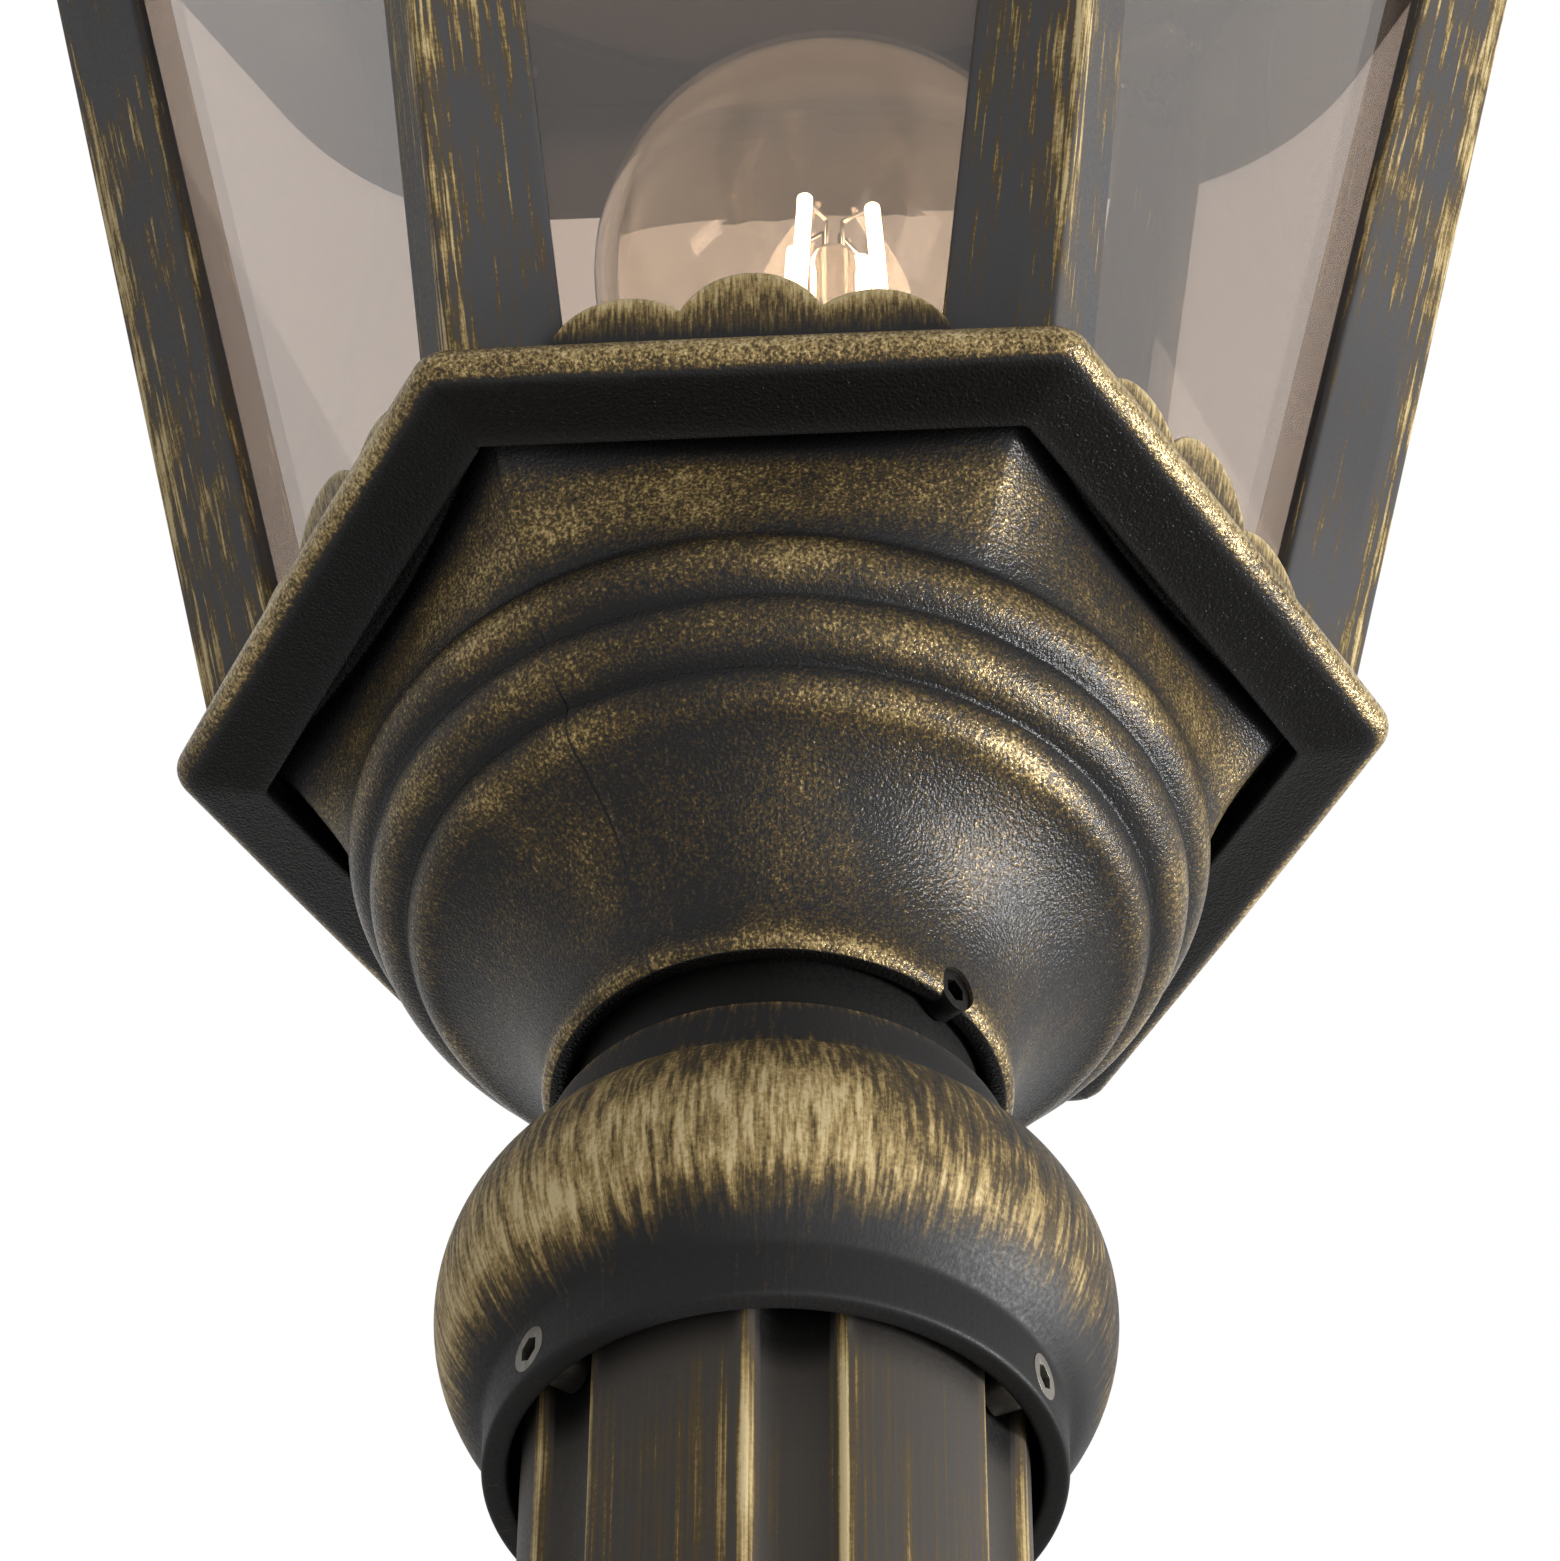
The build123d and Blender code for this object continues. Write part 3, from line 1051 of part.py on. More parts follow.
drum_top_h = DRUM_BASE_H + DRUM_H
under_drum_h = DRUM_BASE_H - ROOF_WALL / 2
drum_floor_h = DRUM_BASE_H + ROOF_WALL / 2
under_waist_r = SWEEP_TOP_R * math.cos(HALF_ANGLE) - ROOF_WALL
dome_low = roof_point(DRUM_R, drum_top_h)
dome_top = roof_point(CROWN_R, CROWN_BASE_H)
under_dome = roof_point(DRUM_R - ROOF_WALL, drum_top_h - ROOF_WALL / 2)
under_crown = roof_point(CROWN_R - ROOF_WALL / 2, CROWN_BASE_H - ROOF_WALL)
stud_hole_r = STUD_R + STUD_SLACK
with BuildPart() as roof:
    with BuildSketch(Plane.XY.offset(ROOF_Z)) as brim:
        RegularPolygon(BRIM_R, SIDES)
        fillet(brim.vertices(), BRIM_R * ROOF_ROUND_SHARE)
    extrude(amount=BRIM_T)
    add(sweep((SWEEP_R, BRIM_T), (SWEEP_TOP_R, DRUM_BASE_H)))
    with BuildSketch(Plane.XZ):
        with BuildLine():
            Polyline(roof_point(0, DRUM_BASE_H), roof_point(DRUM_R, DRUM_BASE_H), dome_low)
            ThreePointArc(dome_low, bulged(dome_low, dome_top, DOME_SAG), dome_top)
            Polyline(dome_top, (CROWN_R, CROWN_TOP_Z), (0, CROWN_TOP_Z), roof_point(0, DRUM_BASE_H))
        make_face()
    revolve(axis=Axis.Z)
    add(sweep((SWEEP_R - ROOF_WALL, 0), (SWEEP_TOP_R - ROOF_WALL, under_drum_h)), mode=Mode.SUBTRACT)
    with BuildSketch(Plane.XZ):
        with BuildLine():
            Polyline(
                roof_point(0, under_drum_h),
                roof_point(under_waist_r, under_drum_h),
                roof_point(under_waist_r, drum_floor_h),
                roof_point(DRUM_R - ROOF_WALL, drum_floor_h),
                under_dome,
            )
            ThreePointArc(under_dome, bulged(under_dome, under_crown, DOME_SAG), under_crown)
            Polyline(under_crown, (0, CROWN_UNDER_Z), roof_point(0, under_drum_h))
        make_face()
    revolve(axis=Axis.Z, mode=Mode.SUBTRACT)
    with BuildSketch(Plane.XY.offset(CROWN_UNDER_Z)):
        Circle(stud_hole_r)
    extrude(amount=CROWN_TOP_Z - CROWN_UNDER_Z, mode=Mode.SUBTRACT)
    with BuildSketch(Plane.XY.offset(ROOF_Z)):
        with PolarLocations(ROOF_SCREW_CIRCLE_R, ROOF_SCREW_COUNT, start_angle=roof_screw_angles[0]):
            Circle(M4[0])
    extrude(amount=BRIM_T, mode=Mode.SUBTRACT)
save(roof, "roof_shell")
brim_z = ROOF_Z + BRIM_T
headed_screws(
    [Plane.XY.move(Location(polar(ROOF_SCREW_CIRCLE_R, angle, brim_z))) for angle in roof_screw_angles],
    M4,
    BRIM_T + ROOF_GAP + FRAME_T - ROOF_SCREW_SLACK,
    "roof_screws",
)

# The finial, and the stud and nut that hold it to the roof's crown
stud_low_z = CROWN_UNDER_Z - STUD_TAIL
with BuildPart() as stud:
    with BuildSketch(Plane.XY.offset(stud_low_z)):
        Circle(STUD_R)
    extrude(amount=CROWN_TOP_Z + FINIAL_THREAD - stud_low_z)
save(stud, "finial_stud")
with BuildPart() as stud_nut:
    with BuildSketch(Plane.XY.offset(CROWN_UNDER_Z)):
        RegularPolygon(STUD_NUT_R, HEX_COUNT)
        Circle(STUD_R, mode=Mode.SUBTRACT)
    extrude(amount=-STUD_NUT_H)
save(stud_nut, "stud_nut")
ball_z = CROWN_TOP_Z + FINIAL_BASE_H + FINIAL_NECK_H + FINIAL_BALL_R * LEG
ball_side = FINIAL_BALL_R * LEG
with BuildPart() as finial:
    with BuildSketch(Plane.XZ):
        with BuildLine():
            Polyline(
                (0, CROWN_TOP_Z + FINIAL_THREAD),
                (STUD_R, CROWN_TOP_Z + FINIAL_THREAD),
                (STUD_R, CROWN_TOP_Z),
                (FINIAL_BASE_R, CROWN_TOP_Z),
                (FINIAL_BASE_R, CROWN_TOP_Z + FINIAL_BASE_H),
                (FINIAL_NECK_R, CROWN_TOP_Z + FINIAL_BASE_H + FINIAL_BASE_H),
                (FINIAL_NECK_R, CROWN_TOP_Z + FINIAL_BASE_H + FINIAL_NECK_H - FINIAL_BASE_H / 2),
                (ball_side, ball_z - ball_side),
            )
            spike_low = (ball_side, ball_z + ball_side)
            ThreePointArc((ball_side, ball_z - ball_side), (FINIAL_BALL_R, ball_z), spike_low)
            spike_top = (FINIAL_TIP_R, CROWN_TOP_Z + FINIAL_HEIGHT - FINIAL_TIP_R)
            ThreePointArc(spike_low, bulged(spike_low, spike_top, -SPIKE_SAG), spike_top)
            ThreePointArc(
                spike_top,
                (FINIAL_TIP_R * LEG, spike_top[1] + FINIAL_TIP_R * LEG),
                (0, CROWN_TOP_Z + FINIAL_HEIGHT),
            )
            Line((0, CROWN_TOP_Z + FINIAL_HEIGHT), (0, CROWN_TOP_Z + FINIAL_THREAD))
        make_face()
    revolve(axis=Axis.Z)
save(finial, "finial")
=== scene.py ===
"""Looks of a garden lamp post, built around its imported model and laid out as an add-on."""

import math

import bpy
import numpy as np
from bpy.props import FloatProperty, FloatVectorProperty, PointerProperty
from bpy.types import Operator, Panel, PropertyGroup
from mathutils import Matrix, Vector
from mathutils.kdtree import KDTree


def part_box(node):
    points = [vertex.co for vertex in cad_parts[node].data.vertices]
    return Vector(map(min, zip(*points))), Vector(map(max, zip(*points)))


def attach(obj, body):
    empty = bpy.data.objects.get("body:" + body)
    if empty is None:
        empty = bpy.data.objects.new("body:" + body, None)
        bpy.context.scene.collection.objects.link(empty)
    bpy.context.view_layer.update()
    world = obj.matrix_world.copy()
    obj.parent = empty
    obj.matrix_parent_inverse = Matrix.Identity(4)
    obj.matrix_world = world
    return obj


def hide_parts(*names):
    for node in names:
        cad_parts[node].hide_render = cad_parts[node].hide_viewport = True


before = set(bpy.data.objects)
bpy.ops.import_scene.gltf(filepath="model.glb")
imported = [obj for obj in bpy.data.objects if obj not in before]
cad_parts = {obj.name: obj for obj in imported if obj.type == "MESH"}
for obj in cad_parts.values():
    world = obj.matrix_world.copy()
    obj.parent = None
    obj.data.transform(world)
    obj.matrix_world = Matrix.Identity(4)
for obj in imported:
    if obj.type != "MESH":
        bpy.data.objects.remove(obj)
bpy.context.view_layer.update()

bl_info = {
    "name": "Garden lamp post",
    "version": (1, 0, 0),
    "blender": (4, 5, 0),
    "location": "View3D > Sidebar > Lamp Post",
    "description": "Dresses a lamp post: cast and brushed paint, glass, bulb, studio and camera",
    "category": "Object",
}

MM = 0.001
SIDES = 6
SIDE_DEG = 360 / SIDES
HALF_SIDE = math.pi / SIDES
SLANT = math.sqrt(0.5)
FRONT_DEG = -90.0
PICTURE_SIZE = (1560, 1561)  # in pixels

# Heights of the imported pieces, in millimetres. The lantern's own heights count from the flange's lower face.
CAGE_FOOT = 6.0
DECK = 5.0
FLANGE_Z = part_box("corner_bar_1")[0].z / MM - CAGE_FOOT
CAGE_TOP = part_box("corner_bar_1")[1].z / MM - FLANGE_Z
COLLAR_LOW, COLLAR_TOP = (corner.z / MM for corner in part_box("ball_collar"))
POLE_LOW, POLE_TOP = (corner.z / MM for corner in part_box("fluted_pole"))
NECK_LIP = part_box("head_casting")[0].z / MM
FOOT_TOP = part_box("foot_casting")[1].z / MM
ROOF_LOW, ROOF_TOP = (corner.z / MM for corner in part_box("roof_shell"))
FINIAL_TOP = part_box("finial")[1].z / MM
BULB_LOW, BULB_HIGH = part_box("bulb_globe")

# Every finish by its key, filled by the operator that makes them
SURFACES = {}


def linear(hex_colour):
    """An sRGB hex colour as linear red, green and blue."""
    channels = [int(hex_colour[i : i + 2], 16) / 255 for i in (1, 3, 5)]
    return tuple(c / 12.92 if c <= 0.04045 else ((c + 0.055) / 1.055) ** 2.4 for c in channels)


def length(name, size_mm, description):
    return FloatProperty(name=name, description=description, default=size_mm * MM, unit="LENGTH")


def bearing(name, degrees, description):
    return FloatProperty(name=name, description=description, default=math.radians(degrees), subtype="ANGLE")


def power(name, watts, description):
    return FloatProperty(name=name, description=description, default=watts, subtype="POWER")


def amount(name, value, description):
    return FloatProperty(name=name, description=description, default=value, min=0)


def colour(name, hex_colour, description):
    return FloatVectorProperty(
        name=name, description=description, default=linear(hex_colour), subtype="COLOR", size=3, min=0, max=1
    )


class LampPostSizes(PropertyGroup):
    """Sizes of the cast shapes that a user would change."""

    flange_corner: length("Flange corner", 71.7, "Radius of the hexagonal flange to its corners")
    recess_corner: length("Recess corner", 60.1, "Radius of the recess under the flange to its corners")
    upper_ring: length("Upper ring", 48.3, "Radius of the ring below the flange")
    lower_ring: length("Lower ring", 46.3, "Radius of the second ring")
    cast_softness: length("Cast softness", 0.45, "How far sand casting and paint round off an edge")
    seam_height: length("Seam height", 0.2, "How far the parting seam of the casting stands out")
    bar_width: length("Bar width", 13.8, "Width of each leg of a corner bar")
    bar_thickness: length("Bar thickness", 3.0, "Thickness of each leg of a corner bar")
    strip_thickness: length("Strip thickness", 2.8, "Thickness of a scalloped strip")
    ball_radius: length("Ball radius", 36.3, "Largest radius of the ball collar")
    pole_radius: length("Pole radius", 26.4, "Radius of the pole over its lobes")
    flute_depth: length("Flute depth", 2.6, "Depth of a flute at its middle")
    brim_corner: length("Brim corner", 146.0, "Radius of the roof's brim to its corners before rounding")
    foot_radius: length("Foot radius", 84.0, "Radius of the foot")


class LampPostColours(PropertyGroup):
    """Paint, metal and glass colours."""

    charcoal: colour("Charcoal", "#222121", "Undercoat of the cast pieces")
    ash: colour("Ash", "#3c3834", "Thin warm wash over the undercoat of the pole")
    slate: colour("Slate", "#424142", "Undercoat of the bars")
    # Painted shade: a black darker than the undercoat, for grooves, bores and undersides
    painted_shade: colour("Soot", "#090807", "Undercoat in grooves and under edges")
    bronze: colour("Bronze", "#4c3f28", "Thin gold over the undercoat")
    gold: colour("Gold", "#907c53", "Full gold on worn crests")
    pale_gold: colour("Pale gold", "#b4a37c", "Brightest gold, on sharp edges")
    lining: colour("Roof lining", "#4a413a", "Dark warm grey of the roof's inside")
    pane: colour("Pane glass", "#d4c9c0", "Tint of the lantern's panes")
    bulb: colour("Bulb glass", "#fbf6ee", "Tint of the bulb's glass")
    glow: colour("Glow", "#ffe8c8", "Light of the filaments")
    steel: colour("Steel", "#8d8b88", "Zinc-plated screws and sheet")
    black_steel: colour("Black steel", "#1f1e1d", "Blackened screws and clips")
    worn_steel: colour("Worn steel", "#6a665f", "Grub screws with their blacking worn off")
    brass: colour("Brass", "#b08d4f", "Turned brass")


class LampPostStudio(PropertyGroup):
    """Camera and lamps."""

    azimuth: bearing("Azimuth", -3.475, "Direction the camera looks, from +Y towards +X")
    elevation: bearing("Elevation", 45.22, "How far up the camera looks")
    roll: bearing("Roll", 0.353, "Turn of the camera about its own axis")
    distance: length("Distance", 658.675, "From the camera to the centre of the flange")
    drop: length("Drop", 1.984, "How far the camera stands below its line to the flange")
    focal_pixels: amount("Focal length", 5642.67, "Focal length in pixels of the full picture")
    key_power: power("Key lamp", 18.0, "Power of the lamp on the right")
    glint_power: power("Glint lamp", 55.0, "Power of the lamp that only reflections show")
    front_power: power("Front lamp", 9.0, "Power of the broad lamp at the front")
    sky_power: power("Sky lamp", 3.0, "Power of the lamp above")
    floor_sun: amount("Floor sun", 1.7, "Strength of the soft sun on the floor")
    ambient: amount("Ambient", 0.34, "Strength of the light from all round")


# Outlines, in millimetres

FINE_MM = 0.2  # spacing of the points while an outline is rounded off
CREST_MM = 2.6  # reach within which an edge counts as proud
TURN_WEIGHT = 1.2  # how strongly points crowd where an outline turns
TURN_REACH = 3  # points over which that crowding spreads
LEAST_POINTS = 8
TINY = 1e-9


def polar(radius, degrees):
    angle = math.radians(degrees)
    return np.array([radius * math.cos(angle), radius * math.sin(angle)])


def arc(start, middle, end, steps=24):
    """Points of the circular arc from start through middle to end, without its last point."""
    (ax, ay), (bx, by), (cx, cy) = start, middle, end
    twice = 2 * (ax * (by - cy) + bx * (cy - ay) + cx * (ay - by))
    a2, b2, c2 = ax**2 + ay**2, bx**2 + by**2, cx**2 + cy**2
    x = (a2 * (by - cy) + b2 * (cy - ay) + c2 * (ay - by)) / twice
    y = (a2 * (cx - bx) + b2 * (ax - cx) + c2 * (bx - ax)) / twice
    first = math.atan2(ay - y, ax - x)
    turn_middle = (math.atan2(by - y, bx - x) - first) % math.tau
    turn = (math.atan2(cy - y, cx - x) - first) % math.tau
    if turn_middle > turn:
        turn -= math.tau
    radius = math.hypot(ax - x, ay - y)
    angles = first + turn * np.arange(steps) / steps
    return [(x + radius * math.cos(t), y + radius * math.sin(t)) for t in angles]


def bow(start, end, bulge, steps=24):
    """Points of an arc that swells to the right of its path, without its last point."""
    dx, dy = end[0] - start[0], end[1] - start[1]
    size = math.hypot(dx, dy)
    middle = ((start[0] + end[0]) / 2 + bulge * dy / size, (start[1] + end[1]) / 2 - bulge * dx / size)
    return arc(start, middle, end, steps)


def run_along(points):
    """How far along a row of points each one lies."""
    return np.r_[0, np.cumsum(np.linalg.norm(np.diff(points, axis=0), axis=1))]


def at_marks(points, run, marks):
    """Points at new marks along a row of points."""
    return np.stack([np.interp(marks, run, axis) for axis in points.T], axis=1)


def evenly(outline, spacing):
    """A closed outline with points at an even spacing."""
    closed = np.vstack([outline, outline[:1]])
    run = run_along(closed)
    count = max(LEAST_POINTS, round(run[-1] / spacing))
    return at_marks(closed, run, np.arange(count) / count * run[-1])


def smoothed(values, reach):
    """Values round a closed outline, averaged over a bell-shaped window of that many points."""
    steps = np.arange(len(values))
    steps = np.minimum(steps, len(values) - steps)
    window = np.exp(-0.5 * (steps / reach) ** 2)
    window /= window.sum()
    spectrum = np.fft.fft(window)[:, None] * np.fft.fft(values, axis=0)
    return np.fft.ifft(spectrum, axis=0).real


def cast_outline(points, softness, count):
    """A closed outline with soft edges, as count points that crowd where it turns, and how proud each is.

    Proud is near 1 on a sharp edge, 0 on a flat and below 0 in a groove.
    """
    fine = evenly(np.asarray(points, float), FINE_MM)
    soft = smoothed(fine, softness / FINE_MM)
    ahead = np.roll(soft, -1, axis=0) - soft
    step = np.linalg.norm(ahead, axis=1)
    heading = np.unwrap(np.arctan2(ahead[:, 1], ahead[:, 0]))
    turn = np.abs(np.diff(heading, append=heading[0] + math.tau * np.sign(heading[-1] - heading[0])))
    normal = np.stack([ahead[:, 1], -ahead[:, 0]], axis=1) / np.maximum(step, TINY)[:, None]
    proud = ((soft - smoothed(soft, CREST_MM / FINE_MM)) * normal).sum(1) / CREST_MM
    crowding = TURN_WEIGHT * smoothed(turn[:, None], TURN_REACH)[:, 0] / max(turn.sum(), TINY)
    run = np.r_[0, np.cumsum(step / step.sum() + crowding)]
    marks = np.arange(count) / count * run[-1]
    spots = at_marks(np.vstack([soft, soft[:1]]), run, marks)
    return spots, np.interp(marks, run, np.r_[proud, proud[0]])


def hexagon(radius, off_corner, corner_round):
    """Radius of a hexagon with rounded corners, at an angle from its nearest corner."""
    edge = radius * math.cos(HALF_SIDE)
    centre = (edge - corner_round) / math.cos(HALF_SIDE)
    round_ends = math.atan2(
        corner_round * math.sin(HALF_SIDE), centre + corner_round * math.cos(HALF_SIDE)
    )
    if off_corner >= round_ends:
        return edge / math.cos(HALF_SIDE - off_corner)
    reach = centre * math.sin(off_corner)
    return centre * math.cos(off_corner) + math.sqrt(corner_round**2 - reach**2)


def edge_gold(proud, gain, least, most):
    """Gold that a brush leaves on proud edges, and values below zero in grooves, which turn them to painted
    shade.
    """
    return np.clip(proud * gain, least, most)


# Meshes

SHARP_DEG = 60.0
DRILLED_SHARP_DEG = 50.0
CUTTER_SIDES = 40
OFF_EVERY_HOLE = (0.36, 0.48, 0.8)  # a direction that no hole runs along
STROKE_SHARE = 0.8  # share of a turned piece's radius at which strokes are spaced


def link(name, data):
    made = bpy.data.objects.new(name, data)
    bpy.context.scene.collection.objects.link(made)
    return made


def loft(name, loops, crest, stroke, ring=False):
    """A closed mesh through a row of closed loops, in millimetres.

    crest says how much gold a point catches, and stroke is its place across and along the brush.
    With ring, the last loop joins the first, and otherwise both ends are capped.
    """
    rows, columns, _ = loops.shape
    index = np.arange(rows * columns).reshape(rows, columns)
    nearer = index if ring else index[:-1]
    further = np.roll(index, -1, axis=0) if ring else index[1:]
    quads = np.stack([nearer, np.roll(nearer, -1, axis=1), np.roll(further, -1, axis=1), further], axis=-1)
    faces = quads.reshape(-1, 4).tolist()
    if not ring:
        faces.append(index[0][::-1].tolist())
        faces.append(index[-1].tolist())
    mesh = bpy.data.meshes.new(name)
    mesh.from_pydata((loops.reshape(-1, 3) * MM).tolist(), [], faces)
    put_paint(mesh, crest.reshape(-1), stroke.reshape(-1, 3))
    made = link(name, mesh)
    turn_outward(mesh)
    shade(mesh, SHARP_DEG)
    return made


def put_paint(mesh, crest, stroke):
    """Keep each point's crest and its stroke, in millimetres, on a mesh."""
    held = mesh.attributes.new("crest", "FLOAT", "POINT")
    held.data.foreach_set("value", np.ascontiguousarray(crest, np.float32))
    held = mesh.attributes.new("stroke", "FLOAT_VECTOR", "POINT")
    held.data.foreach_set("vector", np.ascontiguousarray(stroke * MM, np.float32).reshape(-1))


def turn_outward(mesh):
    """Turn the faces outwards where the volume that they enclose comes out negative."""
    mesh.update()
    corners = np.empty(len(mesh.vertices) * 3)
    mesh.vertices.foreach_get("co", corners)
    mesh.calc_loop_triangles()
    triangles = np.empty(len(mesh.loop_triangles) * 3, int)
    mesh.loop_triangles.foreach_get("vertices", triangles)
    a, b, c = corners.reshape(-1, 3)[triangles.reshape(-1, 3)].transpose(1, 0, 2)
    if np.einsum("ij,ij->i", a, np.cross(b, c)).sum() < 0:
        mesh.flip_normals()


def shade(mesh, sharp_deg):
    """Shade a mesh smooth, but for its sharp edges."""
    mesh.shade_smooth()
    mesh.set_sharp_from_angle(angle=math.radians(sharp_deg))


def drill(made, cutters):
    """Cut the cutters out of a mesh, and give the new points the paint of their nearest old ones."""
    mesh = made.data
    crest = [held.value for held in mesh.attributes["crest"].data]
    stroke = [held.vector.copy() for held in mesh.attributes["stroke"].data]
    tree = KDTree(len(mesh.vertices))
    for vertex in mesh.vertices:
        tree.insert(vertex.co, vertex.index)
    tree.balance()
    for rod in cutters:
        cut = made.modifiers.new("drill", "BOOLEAN")
        cut.object = rod
        cut.solver = "EXACT"
    graph = bpy.context.evaluated_depsgraph_get()
    cut_mesh = bpy.data.meshes.new_from_object(made.evaluated_get(graph))
    made.modifiers.clear()
    made.data = cut_mesh
    for rod in cutters:
        bpy.data.objects.remove(rod)
    for name in ("crest", "stroke"):
        if name in cut_mesh.attributes:
            cut_mesh.attributes.remove(cut_mesh.attributes[name])
    nearest = [tree.find(vertex.co)[1] for vertex in cut_mesh.vertices]
    put_paint(cut_mesh, np.array([crest[k] for k in nearest]), np.array([stroke[k] for k in nearest]) / MM)
    shade(cut_mesh, DRILLED_SHARP_DEG)


def cutter(radius, start, end):
    """A rod between two points, in millimetres, to drill with."""
    start, end = np.array(start, float), np.array(end, float)
    along = (end - start) / np.linalg.norm(end - start)
    x_axis = np.cross(along, OFF_EVERY_HOLE)
    x_axis /= np.linalg.norm(x_axis)
    y_axis = np.cross(along, x_axis)
    turns = np.arange(CUTTER_SIDES) / CUTTER_SIDES * math.tau
    loop = radius * (np.cos(turns)[:, None] * x_axis + np.sin(turns)[:, None] * y_axis)
    loops = np.stack([loop + start, loop + end])
    return loft("cutter", loops, np.zeros(loops.shape[:2]), np.zeros_like(loops))


def side_cutters(radius, reach, angles, z):
    """Rods along radii of the post, each from the first reach to the second."""
    inner, outer = reach
    return [cutter(radius, (*polar(inner, angle), z), (*polar(outer, angle), z)) for angle in angles]


def upright_cutters(radius, circle_r, angles, low, high):
    """Rods along the post, on a circle round its axis."""
    spots = [polar(circle_r, angle) for angle in angles]
    return [cutter(radius, (*spot, low), (*spot, high)) for spot in spots]


def revolved(spots, turns, axis=(0.0, 0.0)):
    """Loops of an outline of radius and height, at each turn about an upright axis."""
    return np.array([np.c_[spots[:, :1] * polar(1, turn) + np.array(axis), spots[:, 1]] for turn in turns])


def turned(name, outline, crest, softness, points, steps):
    """A turned piece from its closed outline of radius and height, with strokes that run up its sides."""
    spots, proud = cast_outline(outline, softness, points)
    spots[:, 0] = np.maximum(spots[:, 0], 0)
    stroke_r = spots[:, 0].max() * STROKE_SHARE
    run = run_along(spots)
    turns = [360 * step / steps for step in range(steps)]
    paints = [crest(spots, proud, turn) for turn in turns]
    strokes = [np.c_[np.tile(stroke_r * polar(1, turn), (points, 1)), run] for turn in turns]
    return loft(name, revolved(spots, turns), np.array(paints), np.array(strokes), ring=True)


def six_sided(name, column, softness, rows, per_side, crowding, crest, base):
    """A piece with six like sides, from a function that gives its outline at an angle from a corner.

    Columns crowd towards the corners, and crest gives the paint of a column from its points and its angle.
    """
    half = per_side // 2
    share = np.arange(half + 1) / per_side
    offs = math.tau / SIDES * (share - crowding * np.sin(math.tau * share) / math.tau)
    columns = [cast_outline(column(off), softness, rows) for off in offs]
    loops, paints, strokes = [], [], []
    for step in range(SIDES * per_side):
        side, step_in_side = divmod(step, per_side)
        near = min(step_in_side, per_side - step_in_side)
        past_half = step_in_side > half
        off = -offs[near] if past_half else offs[near]
        angle = SIDE_DEG * (side + past_half) + math.degrees(off)
        spots, paint = crest(*(held.copy() for held in columns[near]), offs[near], angle)
        ray = polar(1, angle)
        loops.append(np.c_[spots[:, :1] * ray, spots[:, 1] + base])
        strokes.append(np.c_[np.tile(spots[:, 0].mean() * ray, (rows, 1)), run_along(spots)])
        paints.append(paint)
    return loft(name, np.array(loops), np.array(paints), np.array(strokes), ring=True)


# Materials

INSIDE = -2.0  # crest that marks a lined inside face
FULL_GROOVE = -0.5  # crest at which a groove is all black painted shade
BRONZE_SHARE = 0.4  # share of gold that shows as bronze
GOLD_SHARE = 0.8  # share of gold that shows as full gold
PATCH_MM = 16.0  # size of the patches that a hand leaves
WEAR = 0.08  # how much smoother the tops of the grain are, and how much rougher its hollows
SHEEN = 0.12  # kept low, because the white studio all round would veil dark paint
BRUSH_RIDGE_MM = 0.05
FILM_MM = 35.0  # size of the patches of dust on glass
SCRATCH_DEPTH_MM = 0.03
PEEL_DEPTH_MM = 0.05
PHOSPHOR_MM = 3.0


def opaque(rgb):
    return (*rgb, 1.0)


def darker(rgb, share):
    return [channel * share for channel in rgb]


def add(tree, kind, inputs=None, stops=(), **settings):
    """A node with its settings, its inputs set or linked, and colours at the stops of a ramp."""
    made = tree.nodes.new(kind)
    for key, value in settings.items():
        setattr(made, key, value)
    for key, value in (inputs or {}).items():
        socket = made.inputs[key]
        if isinstance(value, bpy.types.NodeSocket):
            tree.links.new(value, socket)
        else:
            socket.default_value = value
    for position, _ in stops[1:-1]:
        made.color_ramp.elements.new(position)
    for number, (position, rgb) in enumerate(stops):
        made.color_ramp.elements[number].position = position
        made.color_ramp.elements[number].color = opaque(rgb)
    return made


def material(name):
    made = bpy.data.materials.new(name)
    made.use_nodes = True
    made.node_tree.nodes.clear()
    return made, made.node_tree


def finish_surface(tree, inputs):
    shader = add(tree, "ShaderNodeBsdfPrincipled", inputs)
    add(tree, "ShaderNodeOutputMaterial", {"Surface": shader.outputs["BSDF"]})


def brush_patterns(tree, spot, stroke, grain_mm, streak_mm, streak_long_mm):
    """Streaks along the brush, the grain of the casting, and larger patches."""
    across, along = 1 / (streak_mm * MM), 1 / (streak_long_mm * MM)
    brushed = add(
        tree, "ShaderNodeVectorMath", {0: stroke, 1: (across, across, along)}, operation="MULTIPLY"
    ).outputs["Vector"]
    streaks = {"Vector": brushed, "Scale": 1.0, "Detail": 4.0, "Roughness": 0.62}
    grain = {"Vector": spot, "Scale": 1 / (grain_mm * MM), "Detail": 2.0, "Roughness": 0.6}
    patches = {"Vector": stroke, "Scale": 1 / (PATCH_MM * MM), "Detail": 3.0, "Roughness": 0.55}
    return [add(tree, "ShaderNodeTexNoise", inputs).outputs["Fac"] for inputs in (streaks, grain, patches)]


